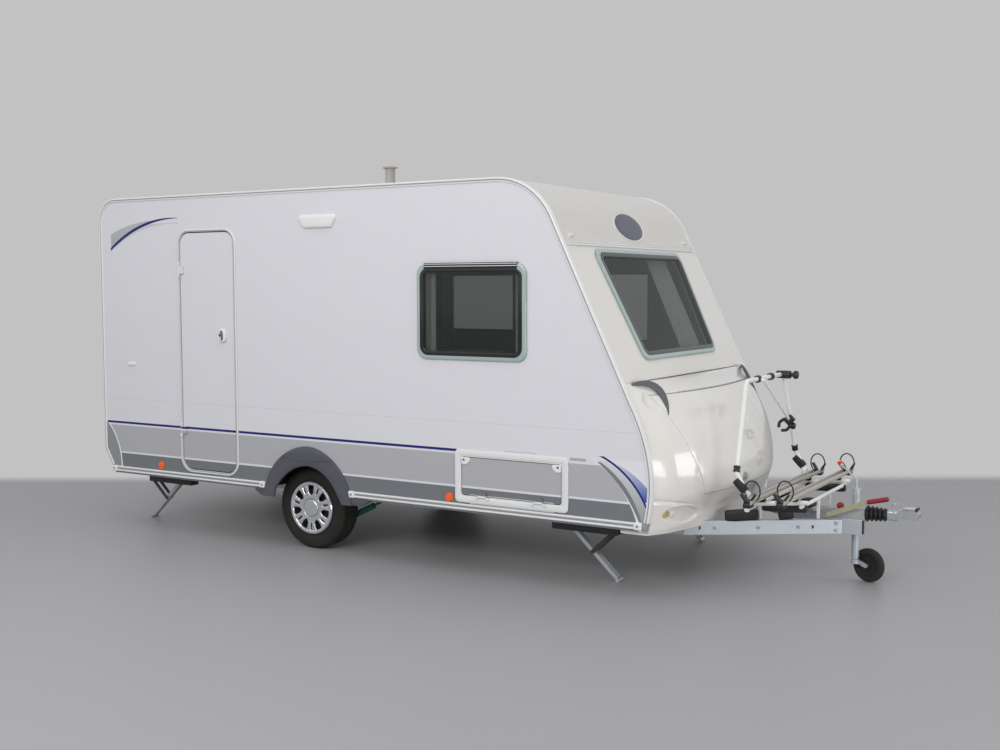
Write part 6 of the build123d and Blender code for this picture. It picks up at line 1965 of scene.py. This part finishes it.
@dataclass
class Fittings(Assembly):
    """Lamps, reflectors, markers and grab handles."""

    reflectors: tuple = ((-1.410, 0.506), (1.242, 0.499))

    def crescent(self) -> Piece:
        """A hand grip like a new moon.

        Its line is the quadratic curve through three marks; its width is a sine of the share
        along it, so that both ends come to a point, and its section is a flat oval.
        """
        a, b, c = np.array(
            (2.497, -0.957, 1.280)
        ), np.array((2.600, -0.700, 1.318)), np.array((2.672, -0.806, 1.093))
        t = np.linspace(0, 1, 60)[:, None]
        path = (1 - t) ** 2 * a + 2 * t * (1 - t) * b + t**2 * c
        run = np.gradient(path, axis=0)
        run /= np.linalg.norm(run, axis=1)[:, None]
        out = np.array((0.72, -0.52, 0.46))
        across = np.cross(run, out)
        across /= np.linalg.norm(across, axis=1)[:, None]
        proud = np.cross(across, run)
        wide = 0.0025 + 0.0225 * np.sin(math.pi * np.clip(t * 0.94 + 0.03, 0, 1)) ** 0.7
        turn = around(20)
        sway = np.sign(np.cos(turn)) * np.abs(np.cos(turn)) ** 0.7
        rings = path[:, None] + wide[:, None] * sway[None, :, None] * across[:, None]
        rings = rings + 0.45 * wide[:, None] * np.sin(turn)[None, :, None] * proud[:, None]
        return stack_rings("front_grip_right", rings)

    def build(self) -> None:
        """Builds the lamps, then the handles."""
        face, lens = side_face(-1), []
        disc = [(0.030, 0.0), (0.030, -0.006), (0.0285, -0.0085), (0.0265, -0.0085), (0.0255, -0.0072)]
        disc += [(0.012, -0.0095), (0.004, -0.0098)]
        for x, z in self.reflectors:
            lens.append(lathe("disc", disc, (x, -SIZE.half_width, z), "Y", 40, 25))
        self.pair(join("side_reflectors_right", lens), ORANGE_LENS, "lamp_lens", ("body_lamps",))
        steps = [(0.0, 0.0), (0.0, 0.008), (0.002, 0.013), (0.006, 0.0175), (0.012, 0.0205), (0.020, 0.022)]
        corners = np.array([(0.037, 2.275), (0.285, 2.275), (0.345, 2.368), (-0.023, 2.368)])
        self.add(plate("awning_lamp_body", face, corners, 0.024, steps), WHITE_PLASTIC, "lamp_lens")
        marker = [(0.0, 0.0), (0.0, 0.006), (0.002, 0.0115), (0.006, 0.014)]
        rim = [(0.0, 0.0), (0.0, 0.004), (0.002, 0.0055), (0.004, 0.005), (0.005, 0.0)]
        lamp = [(0.0, 0.0), (0.0, 0.018), (0.003, 0.024), (0.010, 0.026)]
        for name, make, on, across, up, radius, steps, finish in (
            (
                "front_marker_right", plate, SLOPE_FACE, (-0.930, -0.870), (1.107, 1.133), 0.012, marker,
                CLEAR_LENS
            ),
            (
                "marker_rim_right", hoop_plate, SLOPE_FACE, (-0.936, -0.864), (1.101, 1.139), 0.018, rim,
                WHITE_PLASTIC
            ),
            (
                "rear_lamp_red_right", plate, REAR_FACE, (-0.960, -0.770), (0.735, 0.900), 0.012, lamp,
                RED_LENS
            ),
            (
                "rear_lamp_clear_right", plate, REAR_FACE, (-0.960, -0.770), (0.650, 0.733), 0.012, lamp,
                CLEAR_LENS
            ),
        ):
            self.pair(make(name, on, box_corners(across, up), radius, steps), finish, "lamp_lens")
        self.pair(self.crescent(), HANDLE_GREY, "handle_plastic", ("grab_handles",))
        bar = [(0.001, 1.120), (-0.017, 1.140), (-0.017, 1.280), (0.001, 1.300)]
        bar = smooth_path([(SIZE.rear + ahead, -0.880, z) for ahead, z in bar], 0.02)
        self.pair(tube("rear_grip_right", bar, 0.008, 16), HANDLE_GREY, "handle_plastic")


@dataclass
class Interior(Assembly):
    """Curtains in gathered folds and crowned seat cushions."""

    fold: float = 0.044
    depth: float = 0.013
    low: float = 1.362
    bench_top: float = 0.760
    drape: tuple = ((0.130, 0.500), (0.200, 0.530))

    def curtain(self, label: str, face: Face, low: tuple, high: tuple, v: tuple, back: float) -> Piece:
        """A gathered curtain: a sheet whose depth is a sine of the distance across its folds.

        Args:
            label: Which window it hangs at.
            face: The wall's face, in whose directions it is drawn.
            low: Its two edges across at the bottom.
            high: Its two edges across at the top.
            v: Its bottom and top.
            back: How far behind the face its middle lies.
        """
        wide = (abs(low[1] - low[0]) + abs(high[1] - high[0])) / 2
        folds = max(2, round(wide / self.fold))
        columns = folds * 12 + 1
        share, rise = np.linspace(0, 1, columns), np.linspace(0, 1, 40)[:, None]
        left, right = low[0] + (high[0] - low[0]) * rise, low[1] + (high[1] - low[1]) * rise
        across = left + (right - left) * share
        wave = np.sin(
            2 * math.pi * folds * share + 0.35 * np.sin(3 * rise)
        ) * (0.75 + 0.25 * np.sin(5.3 * share + 1.1))
        height = -back + self.depth * wave * (1.0 - 0.25 * rise)
        flat = np.stack([across, np.broadcast_to(v[0] + (v[1] - v[0]) * rise, across.shape)], -1)
        points = face.lift(flat, height)
        piece = make_object(f"curtain_{label}", points.reshape(-1, 3), grid_faces(40, columns), 80)
        thicken(piece, "cloth", 0.0008)
        return piece

    def curtains(self) -> None:
        """One curtain at each side of every window."""
        back, side_v, front_v = SIZE.wall + 0.020, (self.low, 2.048), (0.170, 1.040)
        hung = []
        for label, side, (start, end) in (
            ("right", -1, (1.000, 1.828)),
            ("left_front", 1, (1.000, 1.828)),
            ("left_rear", 1, (-0.180, 0.620)),
        ):
            for letter, edge in (("a", start - 0.020), ("b", end - 0.110)):
                span = (edge, edge + 0.130)
                hung.append((f"{label}_{letter}", side_face(side), span, span, side_v))
        for letter, span in (("a", (-0.650, -0.520)), ("b", (0.520, 0.650))):
            hung.append((f"rear_{letter}", REAR_FACE, span, span, (self.low, 1.990)))
        hung.append(("front_a", SLOPE_FACE, (-0.610, -0.500), (-0.700, -0.560), front_v))
        hung.append(("front_b", SLOPE_FACE, *self.drape, front_v))
        for number, place in enumerate(hung):
            piece = self.curtain(*place, back)
            self.add(piece, CURTAIN, "curtain_cloth", stands_for=("curtains",) if number == 0 else ())

    def cushion(self, label: str, x: tuple, y: tuple, z: tuple, up: int) -> Piece:
        """A crowned pad.

        Each face of a cube is a grid. A point moves from the cube towards a ball by a small
        share, and the face away from the board swells by the product of two half sines.

        Args:
            label: Its name.
            x: Its limits along the caravan.
            y: Its limits across.
            z: Its limits in height.
            up: The axis whose upper side is the crowned one, 2 for a seat and 1 for a back.
        """
        count = 14
        t = np.sin(np.linspace(-math.pi / 2, math.pi / 2, count))
        a, b = np.meshgrid(t, t, indexing="ij")
        one = np.ones_like(a)
        faces3 = [
            np.stack(order, -1) for order in (
                (a, b, one), (b, a, -one), (one, a, b), (-one, b, a), (b, one, a), (a, -one, b)
            )
        ]
        points = np.concatenate([side.reshape(-1, 3) for side in faces3])
        quads = [quad for number in range(6) for quad in grid_faces(count, count, number * count * count)]
        size = np.array([(x[1] - x[0]) / 2, (y[1] - y[0]) / 2, (z[1] - z[0]) / 2])
        centre = np.array([(x[0] + x[1]) / 2, (y[0] + y[1]) / 2, (z[0] + z[1]) / 2])
        long = np.linalg.norm(points, axis=1, keepdims=True)
        corner = np.clip(long - 1.0, 0, 1)
        soft = points * (1 - 0.035 * corner / size * size.min())
        others = [axis for axis in range(3) if axis != up]
        crown = np.cos(points[:, others[0]] * math.pi / 2) * np.cos(points[:, others[1]] * math.pi / 2)
        soft[:, up] *= 0.90 + 0.10 * crown * (points[:, up] * (1 if centre[1] <= 0 or up == 2 else -1) > -0.5)
        piece = make_object(f"cushion_{label}", centre + soft * size, quads, 60)
        smooth = piece.modifiers.new("rounded", "SUBSURF")
        smooth.levels = smooth.render_levels = 1
        return piece

    def cushions(self) -> None:
        """Seat pads in three lengths a side, their backs, and the rear bed."""
        top, inner = self.bench_top, SIZE.inner
        pieces = []
        for side, label in ((-1, "right"), (1, "left")):
            seat = tuple(sorted((side * (inner - 0.004), side * (inner - 0.556))))
            back = tuple(sorted((side * (inner - 0.004), side * (inner - 0.124))))
            for number in range(3):
                x = (0.905 + number * 0.4967, 0.905 + (number + 1) * 0.4967 - 0.004)
                pieces.append(self.cushion(f"seat_{label}_{number}", x, seat, (top, top + 0.120), 2))
                pieces.append(self.cushion(f"back_{label}_{number}", x, back, (top + 0.122, 1.260), 1))
        for number in range(2):
            y = (-inner + 0.004 + number * 1.016, -inner + 0.004 + (number + 1) * 1.016 - 0.004)
            pieces.append(self.cushion(f"bed_{number}", (-1.895, -1.235), y, (top, top + 0.120), 2))
        for number, piece in enumerate(pieces):
            self.add(piece, UPHOLSTERY, "cushion_cloth", stands_for=("seat_cushions",) if number == 0 else ())

    def build(self) -> None:
        """Builds the soft goods."""
        self.curtains()
        self.cushions()


# Studio


@dataclass(frozen=True)
class Studio:
    """A plain grey floor, a paler background, soft lamps and the camera."""

    floor: str = "#A09FA1"
    far: str = "#C3C2C3"
    air: str = "#F4F5F8"
    air_strength: float = 0.68
    reach: float = 11.3
    spot: Spot = (4.565, -7.482, 1.874)
    turn: float = 31.211
    dip: float = 4.263
    roll: float = -0.097
    lens: float = 42.947

    def ground(self) -> None:
        """The floor; past the reach in front of the camera it has the background's colour."""
        bpy.ops.mesh.primitive_plane_add(size=120, location=(0, 0, 0))
        ground = bpy.context.object
        ground.name = "studio_floor"
        made = bpy.data.materials.new("studio_floor_paint")
        made.use_nodes = True
        net = Net(made.node_tree)
        shader = net.tree.nodes["Principled BSDF"]
        net.fill(shader, {"Roughness": 0.45, "Specular IOR Level": 0.25, "Base Color": linear(self.floor)})
        where = net.node("TexCoord").outputs["Object"]
        angle = math.radians(self.turn)
        line = net.vector("DOT_PRODUCT", where, (-math.sin(angle), math.cos(angle), 0)).outputs["Value"]
        start = -math.sin(angle) * self.spot[0] + math.cos(angle) * self.spot[1] + self.reach
        limits = {"Value": line, "From Min": start, "From Max": start + 0.5}
        share = net.node("MapRange", limits, interpolation_type="SMOOTHSTEP").outputs[0]
        glow = net.node("Emission", {"Color": linear(self.far)}).outputs[0]
        seen = net.maths("MULTIPLY", share, net.node("LightPath").outputs["Is Camera Ray"])
        both = net.node("MixShader", {0: seen, 1: shader.outputs[0], 2: glow}).outputs[0]
        net.fill(net.tree.nodes["Material Output"], {"Surface": both})
        ground.data.materials.append(made)

    def world(self) -> None:
        """Even soft light; the camera sees the background's own colour."""
        world = bpy.data.worlds.new("studio_air")
        bpy.context.scene.world = world
        world.use_nodes = True
        net = Net(world.node_tree)
        light = net.tree.nodes["Background"]
        net.fill(light, {"Color": linear(self.air), "Strength": self.air_strength})
        seen = net.node("Background", {"Color": linear(self.far), "Strength": 1.0}).outputs[0]
        path = net.node("LightPath").outputs
        either = net.maths("MAXIMUM", path["Is Camera Ray"], path["Is Transmission Ray"])
        both = net.node("MixShader", {0: either, 1: light.outputs[0], 2: seen}).outputs[0]
        net.fill(net.tree.nodes["World Output"], {"Surface": both})

    def lamps(self) -> None:
        """Large soft boxes: overhead, at both front corners and along the side."""
        for name, place, aim, size, power in (
            ("overhead", (0.5, -1.0, 5.6), (0, 0, 0), (7.5, 4.5), 66),
            ("front_corner", (8.8, -2.6, 1.0), (2.4, 0, 0.7), (3.4, 1.6), 88),
            ("front_low", (6.2, -3.2, 0.5), (2.6, -0.3, 0.45), (2.2, 0.6), 26),
            ("front_far", (8.8, 2.6, 1.3), (2.4, 0, 1.0), (3.0, 2.0), 70),
            ("along_side", (0.5, -8.8, 4.6), (-0.3, -1, 1.3), (7.0, 2.5), 310),
        ):
            data = bpy.data.lights.new(name, "AREA")
            data.shape = "RECTANGLE"
            data.size, data.size_y = size
            data.energy = power
            lamp = bpy.data.objects.new(name, data)
            lamp.location = place
            lamp.rotation_euler = (Vector(aim) - Vector(place)).to_track_quat("-Z", "Y").to_euler()
            bpy.context.scene.collection.objects.link(lamp)

    def camera(self) -> None:
        """The camera at the photograph's place and angle."""
        data = bpy.data.cameras.new("view")
        data.sensor_width, data.lens = 36.0, self.lens
        camera = bpy.data.objects.new("view", data)
        turn = Matrix.Rotation(math.radians(self.turn), 4, "Z")
        dip = Matrix.Rotation(math.radians(90 - self.dip), 4, "X")
        roll = Matrix.Rotation(math.radians(self.roll), 4, "Z")
        camera.matrix_world = Matrix.Translation(self.spot) @ turn @ dip @ roll
        bpy.context.scene.collection.objects.link(camera)
        bpy.context.scene.camera = camera

    def build(self) -> None:
        """Sets up the floor, the light and the camera."""
        bpy.context.scene.view_settings.view_transform = "Standard"
        self.ground()
        self.world()
        self.lamps()
        self.camera()


def main() -> None:
    """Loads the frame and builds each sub-assembly."""
    logging.basicConfig(level=logging.INFO, format="%(name)s: %(message)s")
    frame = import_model()
    for part in (Shell, Nose, Trims, Windows, Doors, Wheels, Chassis, Hitch, Carrier, Fittings, Interior):
        part(frame).build()
        log.info("%s done", part.__name__)
    Studio().build()


if __name__ == "__main__":
    main()
